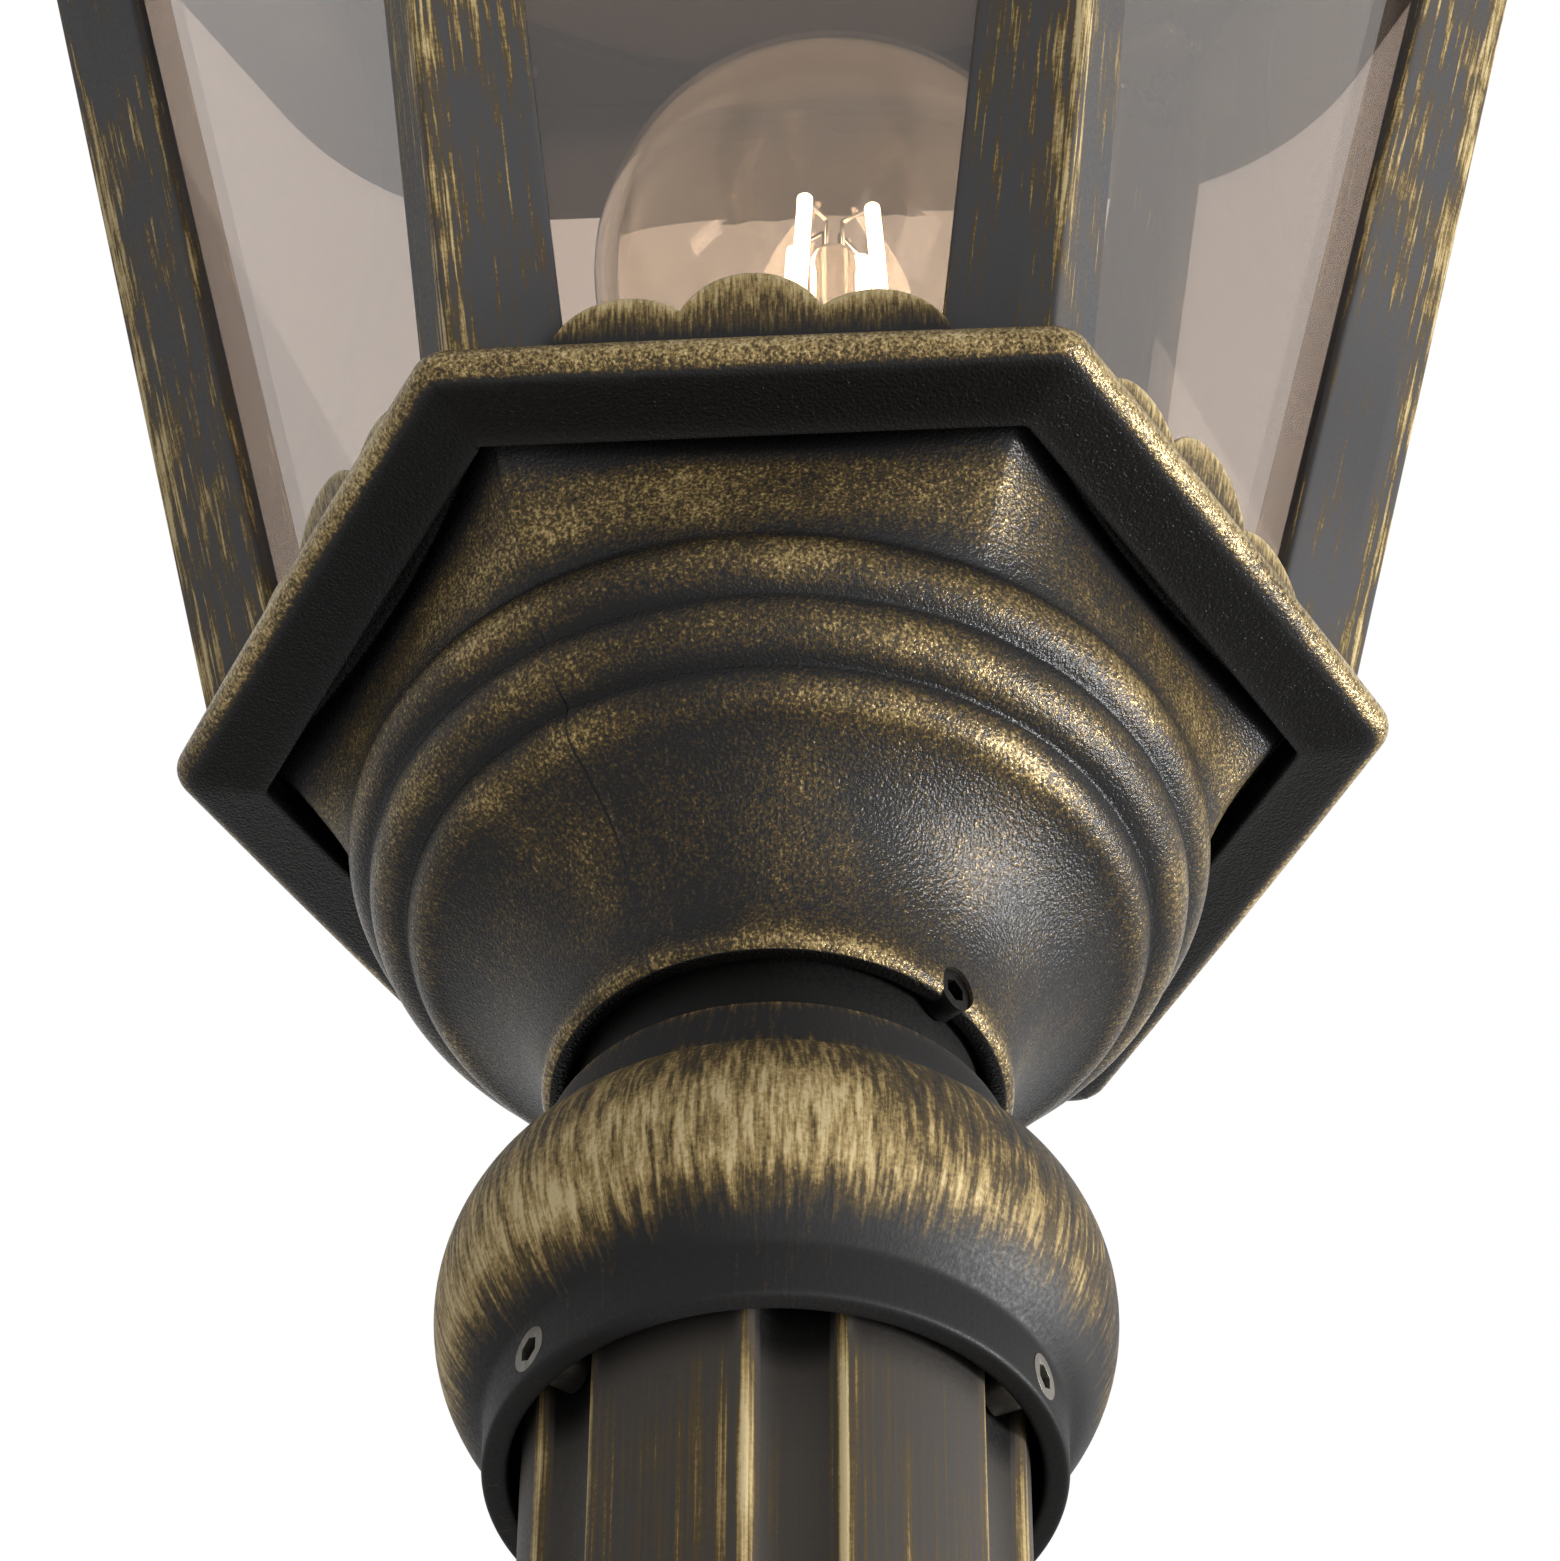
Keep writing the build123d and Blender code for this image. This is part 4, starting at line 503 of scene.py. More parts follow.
def gold_share(tree, crest, patterns, gains):
    """How much gold a point has: its crest, varied by each pattern."""
    total = crest
    for pattern, gain in zip(patterns, gains):
        middle = add(tree, "ShaderNodeMath", {0: pattern, 1: 0.5}, operation="SUBTRACT").outputs[0]
        total = add(
            tree, "ShaderNodeMath", {0: middle, 1: gain, 2: total}, operation="MULTIPLY_ADD"
        ).outputs[0]
    return add(
        tree, "ShaderNodeMapRange", {"Value": total}, interpolation_type="SMOOTHSTEP"
    ).outputs["Result"]


def paint_colour(tree, base, gold, crest, lined):
    """The undercoat under bronze and gold, black painted shade in grooves, and the lining inside."""
    paint = bpy.context.scene.lamp_post_colours
    brushed = (0.0, base), (BRONZE_SHARE, paint.bronze), (GOLD_SHARE, paint.gold), (1.0, paint.pale_gold)
    tint = add(tree, "ShaderNodeValToRGB", {"Fac": gold}, brushed).outputs["Color"]
    groove = add(
        tree, "ShaderNodeMapRange",
        {"Value": crest, "From Min": FULL_GROOVE, "From Max": 0.0, "To Min": 1.0, "To Max": 0.0},
        interpolation_type="SMOOTHSTEP",
    ).outputs["Result"]
    # Black painted shade in grooves, then the lining inside
    for share, rgb in ((groove, paint.painted_shade), (lined, paint.lining)):
        tint = add(
            tree, "ShaderNodeMix", {"Factor": share, "A": tint, "B": opaque(rgb)}, data_type="RGBA"
        ).outputs[2]
    return tint


def gilded_paint(
    name, base, *, grain_mm, grain_depth_mm, streak_mm, streak_long_mm, gains, rough, flake, from_mesh=True
):
    """Dark enamel on an aluminium casting, dry-brushed by hand with antique gold.

    The undercoat keeps the grain of the mould. The brush leaves gold on crests and on the tops of the grain,
    in ragged streaks, and grooves get black painted shade. Gains say how much the streaks, the grain and
    larger patches vary the gold. Flake is the share of metal powder in full gold, which makes it glint.
    """
    made, tree = material(name)
    spot = add(tree, "ShaderNodeTexCoord").outputs["Object"]
    stroke, crest = spot, 0.0
    if from_mesh:
        stroke = add(tree, "ShaderNodeAttribute", attribute_name="stroke").outputs["Vector"]
        crest = add(tree, "ShaderNodeAttribute", attribute_name="crest").outputs["Fac"]
    patterns = brush_patterns(tree, spot, stroke, grain_mm, streak_mm, streak_long_mm)
    streak, grain, _ = patterns
    gold = gold_share(tree, crest, patterns, gains)
    lined = add(tree, "ShaderNodeMath", {0: crest, 1: INSIDE / 2}, operation="LESS_THAN").outputs[0]
    worn = add(
        tree, "ShaderNodeMapRange",
        {"Value": grain, "From Min": 0.3, "From Max": 0.7, "To Min": rough + WEAR, "To Max": rough - WEAR},
    ).outputs["Result"]
    metal = add(tree, "ShaderNodeMath", {0: gold, 1: flake}, operation="MULTIPLY").outputs[0]
    rugged = add(tree, "ShaderNodeMath", {0: 1.0, 1: lined}, operation="SUBTRACT").outputs[0]
    grit = add(
        tree, "ShaderNodeBump", {"Height": grain, "Strength": rugged, "Distance": grain_depth_mm * MM}
    ).outputs["Normal"]
    ridge = add(
        tree, "ShaderNodeBump",
        {"Height": streak, "Strength": 0.6, "Distance": BRUSH_RIDGE_MM * MM, "Normal": grit},
    ).outputs["Normal"]
    finish_surface(tree, {
        "Base Color": paint_colour(tree, base, gold, crest, lined),
        "Roughness": worn,
        "Metallic": metal,
        "Specular IOR Level": SHEEN,
        "Normal": ridge,
    })
    return made


def clear_glass(name, tint, ior, dust, clear):
    """Polished clear glass with a trace of dust, which roughens it in patches and veils it in the light."""
    made, tree = material(name)
    spot = add(tree, "ShaderNodeTexCoord").outputs["Object"]
    film = add(
        tree, "ShaderNodeTexNoise",
        {"Vector": spot, "Scale": 1 / (FILM_MM * MM), "Detail": 4.0, "Roughness": 0.6},
    ).outputs["Fac"]
    rough = add(
        tree, "ShaderNodeMapRange",
        {"Value": film, "From Min": 0.4, "From Max": 0.8, "To Min": 0.0, "To Max": dust},
    ).outputs["Result"]
    finish_surface(tree, {
        "Base Color": opaque(tint),
        "Roughness": rough,
        "IOR": ior,
        "Transmission Weight": clear,
    })
    return made


def plain_metal(name, rgb, roughness, scratch_mm, scratch_long_mm, axis):
    """Bare metal with fine working marks along one axis, and a little uneven in tone."""
    made, tree = material(name)
    spot = add(tree, "ShaderNodeTexCoord").outputs["Object"]
    scale = [1 / (scratch_mm * MM)] * 3
    scale[axis] = 1 / (scratch_long_mm * MM)
    worked = add(
        tree, "ShaderNodeVectorMath", {0: spot, 1: tuple(scale)}, operation="MULTIPLY"
    ).outputs["Vector"]
    marks = add(
        tree, "ShaderNodeTexNoise", {"Vector": worked, "Scale": 1.0, "Detail": 3.0, "Roughness": 0.6}
    ).outputs["Fac"]
    tint = add(tree, "ShaderNodeValToRGB", {"Fac": marks}, ((0.3, darker(rgb, 0.7)), (0.7, rgb)))
    rough = add(
        tree, "ShaderNodeMapRange",
        {"Value": marks, "From Min": 0.3, "From Max": 0.7, "To Min": roughness + 0.12, "To Max": roughness},
    ).outputs["Result"]
    bump = add(
        tree, "ShaderNodeBump", {"Height": marks, "Strength": 0.4, "Distance": SCRATCH_DEPTH_MM * MM}
    ).outputs["Normal"]
    finish_surface(tree, {
        "Base Color": tint.outputs["Color"],
        "Metallic": 1.0,
        "Roughness": rough,
        "Normal": bump,
    })
    return made


def moulded(name, hex_colour, roughness, mottle_mm):
    """Glazed or moulded insulation: even colour with a slight mottle and an orange-peel surface."""
    made, tree = material(name)
    rgb = linear(hex_colour)
    spot = add(tree, "ShaderNodeTexCoord").outputs["Object"]
    mottle = add(
        tree, "ShaderNodeTexNoise", {"Vector": spot, "Scale": 1 / (mottle_mm * MM), "Detail": 3.0}
    ).outputs["Fac"]
    tint = add(tree, "ShaderNodeValToRGB", {"Fac": mottle}, ((0.3, darker(rgb, 0.85)), (0.7, rgb)))
    bump = add(
        tree, "ShaderNodeBump", {"Height": mottle, "Strength": 0.2, "Distance": PEEL_DEPTH_MM * MM}
    ).outputs["Normal"]
    finish_surface(tree, {"Base Color": tint.outputs["Color"], "Roughness": roughness, "Normal": bump})
    return made


def glowing_phosphor(name, rgb, strength):
    """Phosphor-coated filament that glows evenly, a little patchy along its length."""
    made, tree = material(name)
    spot = add(tree, "ShaderNodeTexCoord").outputs["Object"]
    patches = add(
        tree, "ShaderNodeTexNoise", {"Vector": spot, "Scale": 1 / (PHOSPHOR_MM * MM), "Detail": 2.0}
    ).outputs["Fac"]
    tint = add(tree, "ShaderNodeValToRGB", {"Fac": patches}, ((0.2, darker(rgb, 0.9)), (0.8, rgb)))
    finish_surface(tree, {
        "Base Color": tint.outputs["Color"],
        "Roughness": 0.5,
        "Emission Color": tint.outputs["Color"],
        "Emission Strength": strength,
    })
    return made


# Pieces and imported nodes

WELD_MM = 0.001
EASE_MM = 0.2
EASE_FROM_DEG = 35.0


def dress(piece, surface):
    piece.data.materials.clear()
    piece.data.materials.append(surface)


def place(piece, body, slot, surface, *nodes):
    """Put a finish on a new piece, and let it stand for its nodes on its body."""
    dress(piece, surface)
    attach(piece, body)
    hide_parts(*nodes)


def dress_nodes(surface, *names, ease_mm=EASE_MM):
    """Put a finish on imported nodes, and ease their sharp edges."""
    for name in names:
        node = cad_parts[name]
        dress(node, surface)
        node.modifiers.new("weld", "WELD").merge_threshold = WELD_MM * MM
        ease = node.modifiers.new("ease", "BEVEL")
        ease.width = ease_mm * MM
        ease.segments = 2
        ease.limit_method = "ANGLE"
        ease.angle_limit = math.radians(EASE_FROM_DEG)
        ease.harden_normals = True


# Operators


class LAMPPOST_OT_stage(Operator):
    """Set up the white studio: floor, world, lamps and camera"""

    bl_idname = "lamp_post.stage"
    bl_label = "Studio"

    # Lengths in metres: each lamp's size, and its place from the centre of the flange
    LAMPS = (
        ("key", 0.38, (1.15, -0.05, -0.42)),
        ("glint", 0.25, (1.15, -0.05, -0.42)),
        ("front", 0.9, (0.65, -0.9, -0.55)),
        ("sky", 1.6, (0.3, 0.6, 1.6)),
    )
    SUN_PLACE = (0.5, -0.35, 0.8)
    SUN_SPREAD_DEG = 12.0
    FLOOR_HALF = 6.0
    FLOOR_DROP = 0.0002
    SENSOR_MM = 36.0
    NEAREST = 0.01
    WHITE = (1.0, 1.0, 1.0)

    def execute(self, context):
        studio = context.scene.lamp_post_studio
        context.scene.view_settings.view_transform = "Standard"
        self.make_world(context, studio)
        self.make_lamps(studio, self.make_floor())
        self.make_camera(context, studio)
        return {"FINISHED"}

    def make_world(self, context, studio):
        """White to the eye, in reflections and through glass, and a soft light on everything else."""
        world = bpy.data.worlds.new("white_studio")
        context.scene.world = world
        world.use_nodes = True
        tree = world.node_tree
        tree.nodes.clear()
        path = add(tree, "ShaderNodeLightPath")
        seen = path.outputs["Is Camera Ray"]
        for ray in ("Is Glossy Ray", "Is Transmission Ray"):
            seen = add(
                tree, "ShaderNodeMath", {0: seen, 1: path.outputs[ray]}, operation="MAXIMUM"
            ).outputs[0]
        soft, white = (
            add(tree, "ShaderNodeBackground", {"Color": opaque(self.WHITE), "Strength": strength})
            for strength in (studio.ambient, 1.0)
        )
        mixed = add(
            tree, "ShaderNodeMixShader",
            {0: seen, 1: soft.outputs["Background"], 2: white.outputs["Background"]},
        )
        add(tree, "ShaderNodeOutputWorld", {"Surface": mixed.outputs["Shader"]})

    def make_floor(self):
        half, drop = self.FLOOR_HALF, self.FLOOR_DROP
        mesh = bpy.data.meshes.new("floor")
        corners = [(-half, -half, -drop), (half, -half, -drop), (half, half, -drop), (-half, half, -drop)]
        mesh.from_pydata(corners, [], [(0, 1, 2, 3)])
        floor = link("floor", mesh)
        # Matt studio paper: it takes a soft shadow and shows no reflection.
        surface, tree = material("pale_studio_floor")
        finish_surface(tree, {"Base Color": opaque(linear("#f2f1ef")), "Roughness": 0.8})
        dress(floor, surface)
        return floor

    def make_lamps(self, studio, floor):
        """The lamps leave out the floor, which one nearly touches, and a soft sun lights it alone."""
        for name, size, offset in self.LAMPS:
            lamp = self.make_lamp(name, "AREA", getattr(studio, f"{name}_power"), Vector(offset))
            lamp.data.size = size
            lamp.visible_diffuse = name != "glint"
            self.aim_at_floor(lamp, floor, "EXCLUDE")
        sun = self.make_lamp("floor_sun", "SUN", studio.floor_sun, Vector(self.SUN_PLACE))
        sun.data.angle = math.radians(self.SUN_SPREAD_DEG)
        self.aim_at_floor(sun, floor, "INCLUDE")

    def make_lamp(self, name, kind, strength, offset):
        """A lamp that points at the centre of the flange."""
        data = bpy.data.lights.new(name, kind)
        data.energy = strength
        lamp = link(name, data)
        lamp.location = Vector((0, 0, FLANGE_Z * MM)) + offset
        lamp.rotation_euler = (-offset).to_track_quat("-Z", "Y").to_euler()
        return lamp

    def aim_at_floor(self, lamp, floor, state):
        """Let the lamp light nothing but the floor, or everything but the floor."""
        lit = bpy.data.collections.new(f"lit_by_{lamp.name}")
        lit.objects.link(floor)
        lit.collection_objects[0].light_linking.link_state = state
        lamp.light_linking.receiver_collection = lit

    def make_camera(self, context, studio):
        az, el, roll = studio.azimuth, studio.elevation, studio.roll
        ahead = Vector((math.sin(az) * math.cos(el), math.cos(az) * math.cos(el), math.sin(el)))
        level = Vector((math.cos(az), -math.sin(az), 0))
        above = level.cross(ahead)
        right = math.cos(roll) * level + math.sin(roll) * above
        up = math.cos(roll) * above - math.sin(roll) * level
        spot = Vector((0, 0, FLANGE_Z * MM)) - studio.distance * ahead - studio.drop * up
        data = bpy.data.cameras.new("camera")
        data.sensor_width = self.SENSOR_MM
        data.lens = studio.focal_pixels / max(PICTURE_SIZE) * data.sensor_width
        data.clip_start = self.NEAREST
        camera = link("camera", data)
        turn = Matrix((right, up, -ahead)).transposed().to_4x4()
        camera.matrix_world = Matrix.Translation(spot) @ turn
        context.scene.camera = camera


class LAMPPOST_OT_surfaces(Operator):
    """Make every finish"""

    bl_idname = "lamp_post.surfaces"
    bl_label = "Finishes"

    def execute(self, context):
        paint = context.scene.lamp_post_colours
        self.make_paints(paint)
        self.make_glass(paint)
        self.make_metals(paint)
        self.make_insulation()
        return {"FINISHED"}

    def make_paints(self, paint):
        # A sand casting is gritty, so its gold breaks up into specks that glint.
        SURFACES["sand_cast"] = gilded_paint(
            "gilded_enamel_on_sand_casting", paint.charcoal, grain_mm=0.4, grain_depth_mm=0.19,
            streak_mm=0.4, streak_long_mm=1.4, gains=(0.7, 1.4, 1.0), rough=0.27, flake=0.3,
        )
        # A smooth casting shows the brush itself, in long strokes with ragged ends.
        SURFACES["long_brushed"] = gilded_paint(
            "gilded_enamel_long_strokes", paint.charcoal, grain_mm=0.5, grain_depth_mm=0.04,
            streak_mm=0.6, streak_long_mm=6.0, gains=(1.6, 0.5, 0.8), rough=0.58, flake=0.1,
        )
        # An extruded tube is straight and even, with faint streaks all along it.
        SURFACES["pole"] = gilded_paint(
            "gilded_enamel_on_extruded_pole", paint.ash, grain_mm=0.5, grain_depth_mm=0.03,
            streak_mm=0.7, streak_long_mm=60.0, gains=(2.4, 0.3, 0.8), rough=0.58, flake=0.1,
        )
        # Bars rubbed along their length have broad uneven streaks and a satin sheen.
        SURFACES["bar"] = gilded_paint(
            "gilded_enamel_on_bars", paint.slate, grain_mm=0.5, grain_depth_mm=0.04,
            streak_mm=0.6, streak_long_mm=16.0, gains=(3.2, 0.5, 1.6), rough=0.6, flake=0.1,
        )
        # Scallops brushed towards their tips fade from gold to black painted shade at their feet.
        SURFACES["strip"] = gilded_paint(
            "gilded_enamel_on_scallops", paint.charcoal, grain_mm=0.4, grain_depth_mm=0.05,
            streak_mm=0.4, streak_long_mm=3.5, gains=(1.5, 0.4, 0.5), rough=0.4, flake=0.15,
        )
        # The frame under the roof is hardly brushed, and keeps a faint mottle.
        SURFACES["plain_gilt"] = gilded_paint(
            "gilded_enamel_on_frame", paint.charcoal, grain_mm=0.7, grain_depth_mm=0.08,
            streak_mm=0.9, streak_long_mm=0.9, gains=(0.5, 0.5, 0.5), rough=0.4, flake=0.2, from_mesh=False,
        )

    def make_glass(self, paint):
        # Float glass is flat, with a warm tint and a little dust, and blown glass is brighter and clean.
        # The lit phosphor is the brightest thing in the lantern.
        SURFACES["pane"] = clear_glass("float_glass", paint.pane, ior=1.45, dust=0.015, clear=0.97)
        SURFACES["bulb"] = clear_glass("blown_glass", paint.bulb, ior=1.45, dust=0.0, clear=0.945)
        SURFACES["filament"] = glowing_phosphor("lit_phosphor", paint.glow, strength=60.0)

    def make_metals(self, paint):
        # Zinc is pale with fine marks, blackened steel is dull, and turned brass is warm and brighter.
        # Each has its roughness, a scratch's width and length in millimetres, and the axis it runs along.
        metals = (
            ("steel", "zinc_plated_steel", paint.steel, 0.32, 0.4, 4.0, 0),
            ("black_steel", "blackened_steel", paint.black_steel, 0.4, 0.4, 4.0, 2),
            ("worn_steel", "worn_blackened_steel", paint.worn_steel, 0.4, 0.4, 4.0, 2),
            ("brass", "turned_brass", paint.brass, 0.28, 0.3, 3.0, 1),
        )
        for key, *metal in metals:
            SURFACES[key] = plain_metal(*metal)

    def make_insulation(self):
        # Glazed porcelain and glass shine, and the soft covering of a lead is satin.
        # Each has its roughness and the size of its mottle in millimetres.
        insulation = (
            ("porcelain", "glazed_porcelain", "#e9e6de", 0.15, 6.0),
            ("black_glass", "black_glass_insulator", "#141416", 0.1, 3.0),
            ("brown_lead", "brown_lead_insulation", "#5a3a22", 0.4, 2.0),
            ("blue_lead", "blue_lead_insulation", "#2a4f9c", 0.4, 2.0),
            ("green_lead", "green_lead_insulation", "#3c8a35", 0.4, 2.0),
        )
        for key, *kind in insulation:
            SURFACES[key] = moulded(*kind)


class LAMPPOST_OT_head(Operator):
    """Model the head casting: neck, bell, rings, spandrels and hexagonal flange"""

    bl_idname = "lamp_post.head"
    bl_label = "Head casting"

    PER_SIDE = 84
    ROWS = 300
    CROWDING = 0.75

    # Outside, as radii and heights from the flange's lower face
    NECK_BORE_R = 22.6
    LIP_WALL = 3.5
    LIP_ROUND = 1.8
    LIP_H = 4.2
    BELL_MID = (29.6, -40.0)
    BELL_TOP = (38.5, -32.0)
    SHOULDER = (42.0, -27.1)
    SHOULDER_BULGE = 1.3
    LOWER_RING_Z = -20.6
    UPPER_RING_Z = -13.3
    RING_BULGE = 2.0
    SPANDREL_WAIST = 49.0
    SPANDREL_GAP = 0.5
    CEILING = 3.0
    RECESS_ROUND = 1.2
    RECESS_DROP = 1.8
    RIM_ROUND = 2.5
    RIM_POINTS = 9
    CORNER_ROUND = 4.0

    # Inside: the pads under the bars, the lamp tray's seat and the wiring space
    PAD_R = 61.5
    PAD_ROUND = 1.0
    SEAT_R = 44.0
    SEAT_Z = 1.5
    WIRING_R = 38.0
    WIRING_FLOOR = -19.2
    CABLE_R = 12.0
    NECK_CEILING = -23.2

    # Holes of the neck's set screws
    SCREW_R = 2.5
    SCREW_DROP = 51.8
    SCREW_ANGLES = (-38.0, 142.0)
    SCREW_REACH = (20.0, 34.0)

    # The parting seam wanders in waves of a width, a length and a start, with a dark crack beside it.
    SEAMS = (-120.0, 60.0)
    SEAM_WAVES = ((0.45, 5.0, 0.0), (0.25, 2.1, 1.0))
    SEAM_WIDTH = 0.35
    CRACK_OFF = 0.3
    CRACK_WIDTH = 0.12
    BELL_CRACK = 0.55
    RING_CRACK = 0.25
    BELL_CRACK_TOP = -26.0

    # Gold by height, with painted shade at the spandrels' tops, gold round the rim, and painted shade under
    # the flange and in the bore
    DUST_HEIGHTS = (-52, -49, -44, -36, -31, -14, -9, -3, 0)
    GOLD_DUST_AND_SHADE = (0.12, 0.14, 0.2, 0.2, 0.1, 0.12, 0.4, 0.26, -0.2)
    RIM_TURNS = (-90, -82, -62, 0, 60, 90)
    RIM_GOLD = (-0.3, -0.2, 0.5, 0.72, 0.5, 0.1)
    UNDER_FLANGE_SHADE = -0.52
    UNDER_EDGE = 0.3
    UNDER_TOP = 0.5
    BORE_SHADE = -0.8
    BORE_EDGE_R = 25.0
    BORE_TOP = 1.0

    def spandrel(self, off_corner, corner):
        """Radius of the star that the spandrels end in: arcs from corner to corner that bow inwards."""
        along = corner * math.cos(HALF_SIDE)
        aside = corner * math.sin(HALF_SIDE)
        waist = self.SPANDREL_WAIST
        centre = (along**2 + aside**2 - waist**2) / (2 * (along - waist))
        angle = HALF_SIDE - off_corner
        reach = (centre - waist) ** 2 - (centre * math.sin(angle)) ** 2
        return centre * math.cos(angle) - math.sqrt(reach)

    def rim(self, off_corner):
        """Distance from the axis to the middle of the flange's rounded rim."""
        corner = bpy.context.scene.lamp_post_sizes.flange_corner / MM
        return hexagon(corner - self.RIM_ROUND, off_corner, self.CORNER_ROUND)

    def recess(self, off_corner):
        corner = bpy.context.scene.lamp_post_sizes.recess_corner / MM
        return hexagon(corner, off_corner, self.RECESS_ROUND)

    def column(self, off_corner):
        """Outline of the casting in the plane at an angle from the nearest corner."""
        sizes = bpy.context.scene.lamp_post_sizes
        bore_r, lip_r = self.NECK_BORE_R, self.NECK_BORE_R + self.LIP_WALL
        lip = NECK_LIP - FLANGE_Z
        lip_in, lip_out = (bore_r, lip + self.LIP_ROUND), (lip_r, lip + self.LIP_ROUND)
        lower = (sizes.lower_ring / MM, self.LOWER_RING_Z)
        upper = (sizes.upper_ring / MM, self.UPPER_RING_Z)
        recess = self.recess(off_corner)
        star = min(self.spandrel(off_corner, sizes.recess_corner / MM), recess - self.SPANDREL_GAP)
        points = arc(lip_in, (bore_r + self.LIP_WALL / 2, lip), lip_out, steps=10)
        points += [lip_out]
        points += arc((lip_r, lip + self.LIP_H), self.BELL_MID, self.BELL_TOP)
        points += bow(self.BELL_TOP, self.SHOULDER, self.SHOULDER_BULGE)
        points += bow(self.SHOULDER, lower, self.RING_BULGE)
        points += bow(lower, upper, self.RING_BULGE)
        points += [upper, (star, self.CEILING), (recess, self.CEILING), (recess, -self.RECESS_DROP)]
        rim = self.rim(off_corner)
        for turn in np.linspace(-math.pi / 2, math.pi / 2, self.RIM_POINTS):
            out = self.RIM_ROUND * math.cos(turn)
            points.append((rim + out, self.RIM_ROUND + self.RIM_ROUND * math.sin(turn)))
        pad = hexagon(self.PAD_R, off_corner, self.PAD_ROUND)
        points += [(pad, DECK), (pad, CAGE_FOOT), (self.SEAT_R, CAGE_FOOT), (self.SEAT_R, self.SEAT_Z)]
        points += [(self.WIRING_R, self.SEAT_Z), (self.WIRING_R, self.WIRING_FLOOR)]
        points += [(self.CABLE_R, self.WIRING_FLOOR), (self.CABLE_R, self.NECK_CEILING)]
        return points + [(bore_r, self.NECK_CEILING)]

    def execute(self, context):
        softness = context.scene.lamp_post_sizes.cast_softness / MM
        head = six_sided(
            "cast_head", self.column, softness, self.ROWS, self.PER_SIDE, self.CROWDING, self.paint, FLANGE_Z
        )
        neck_z = FLANGE_Z - self.SCREW_DROP
        drill(head, side_cutters(self.SCREW_R, self.SCREW_REACH, self.SCREW_ANGLES, neck_z))
        place(head, "head", "cast_paint", SURFACES["sand_cast"], "head_casting")
        return {"FINISHED"}

    def paint(self, spots, proud, off_corner, angle):
        """The column's points, lifted into a thin ridge at the parting line, and their gold."""
        height = bpy.context.scene.lamp_post_sizes.seam_height / MM
        gold = self.gold(spots, proud, off_corner)
        wander = sum(wide * np.sin(spots[:, 1] / long + start) for wide, long, start in self.SEAM_WAVES)
        crack = np.where(spots[:, 1] < self.BELL_CRACK_TOP, self.BELL_CRACK, self.RING_CRACK)
        for seam in self.SEAMS:
            off = (angle - seam + 180) % 360 - 180
            aside = math.radians(off) * spots[:, 0] - wander
            outside = (spots[:, 1] < self.UNDER_TOP) & (spots[:, 0] > self.BORE_EDGE_R)
            spots[:, 0] += outside * height * np.exp(-((aside / self.SEAM_WIDTH) ** 2))
            gold -= outside * crack * np.exp(-(((aside + self.CRACK_OFF) / self.CRACK_WIDTH) ** 2))
        return spots, gold

    def gold(self, spots, proud, off_corner):
        """Gold dusts the crests of the rings, the bell and the spandrels, and lies on the flange's rim;
        painted shade darkens the spandrels' tops by the recess, the flange's underside and the bore.
        """
        radius, height = spots.T
        rim, recess = self.rim(off_corner), self.recess(off_corner)
        # Gold dust by height, which turns to painted shade at the spandrels' tops by the recess
        dust = np.interp(height, self.DUST_HEIGHTS, self.GOLD_DUST_AND_SHADE)
        paint = edge_gold(proud, gain=1.3, least=-0.6, most=0.35) + dust
        turn = np.degrees(np.arctan2(height - self.RIM_ROUND, radius - rim))
        paint = np.where(radius > rim, np.interp(turn, self.RIM_TURNS, self.RIM_GOLD), paint)
        # Painted shade under the flange, with a little gold on its edges
        under = (radius > recess - self.UNDER_EDGE) & (radius <= rim) & (height < self.UNDER_TOP)
        paint = np.where(under, self.UNDER_FLANGE_SHADE + edge_gold(proud, gain=1.0, least=0.0, most=0.3), paint)
        # Painted shade in the bore
        inside = (radius < self.BORE_EDGE_R) & (height < self.BORE_TOP)
        return np.where(inside, self.BORE_SHADE, paint)


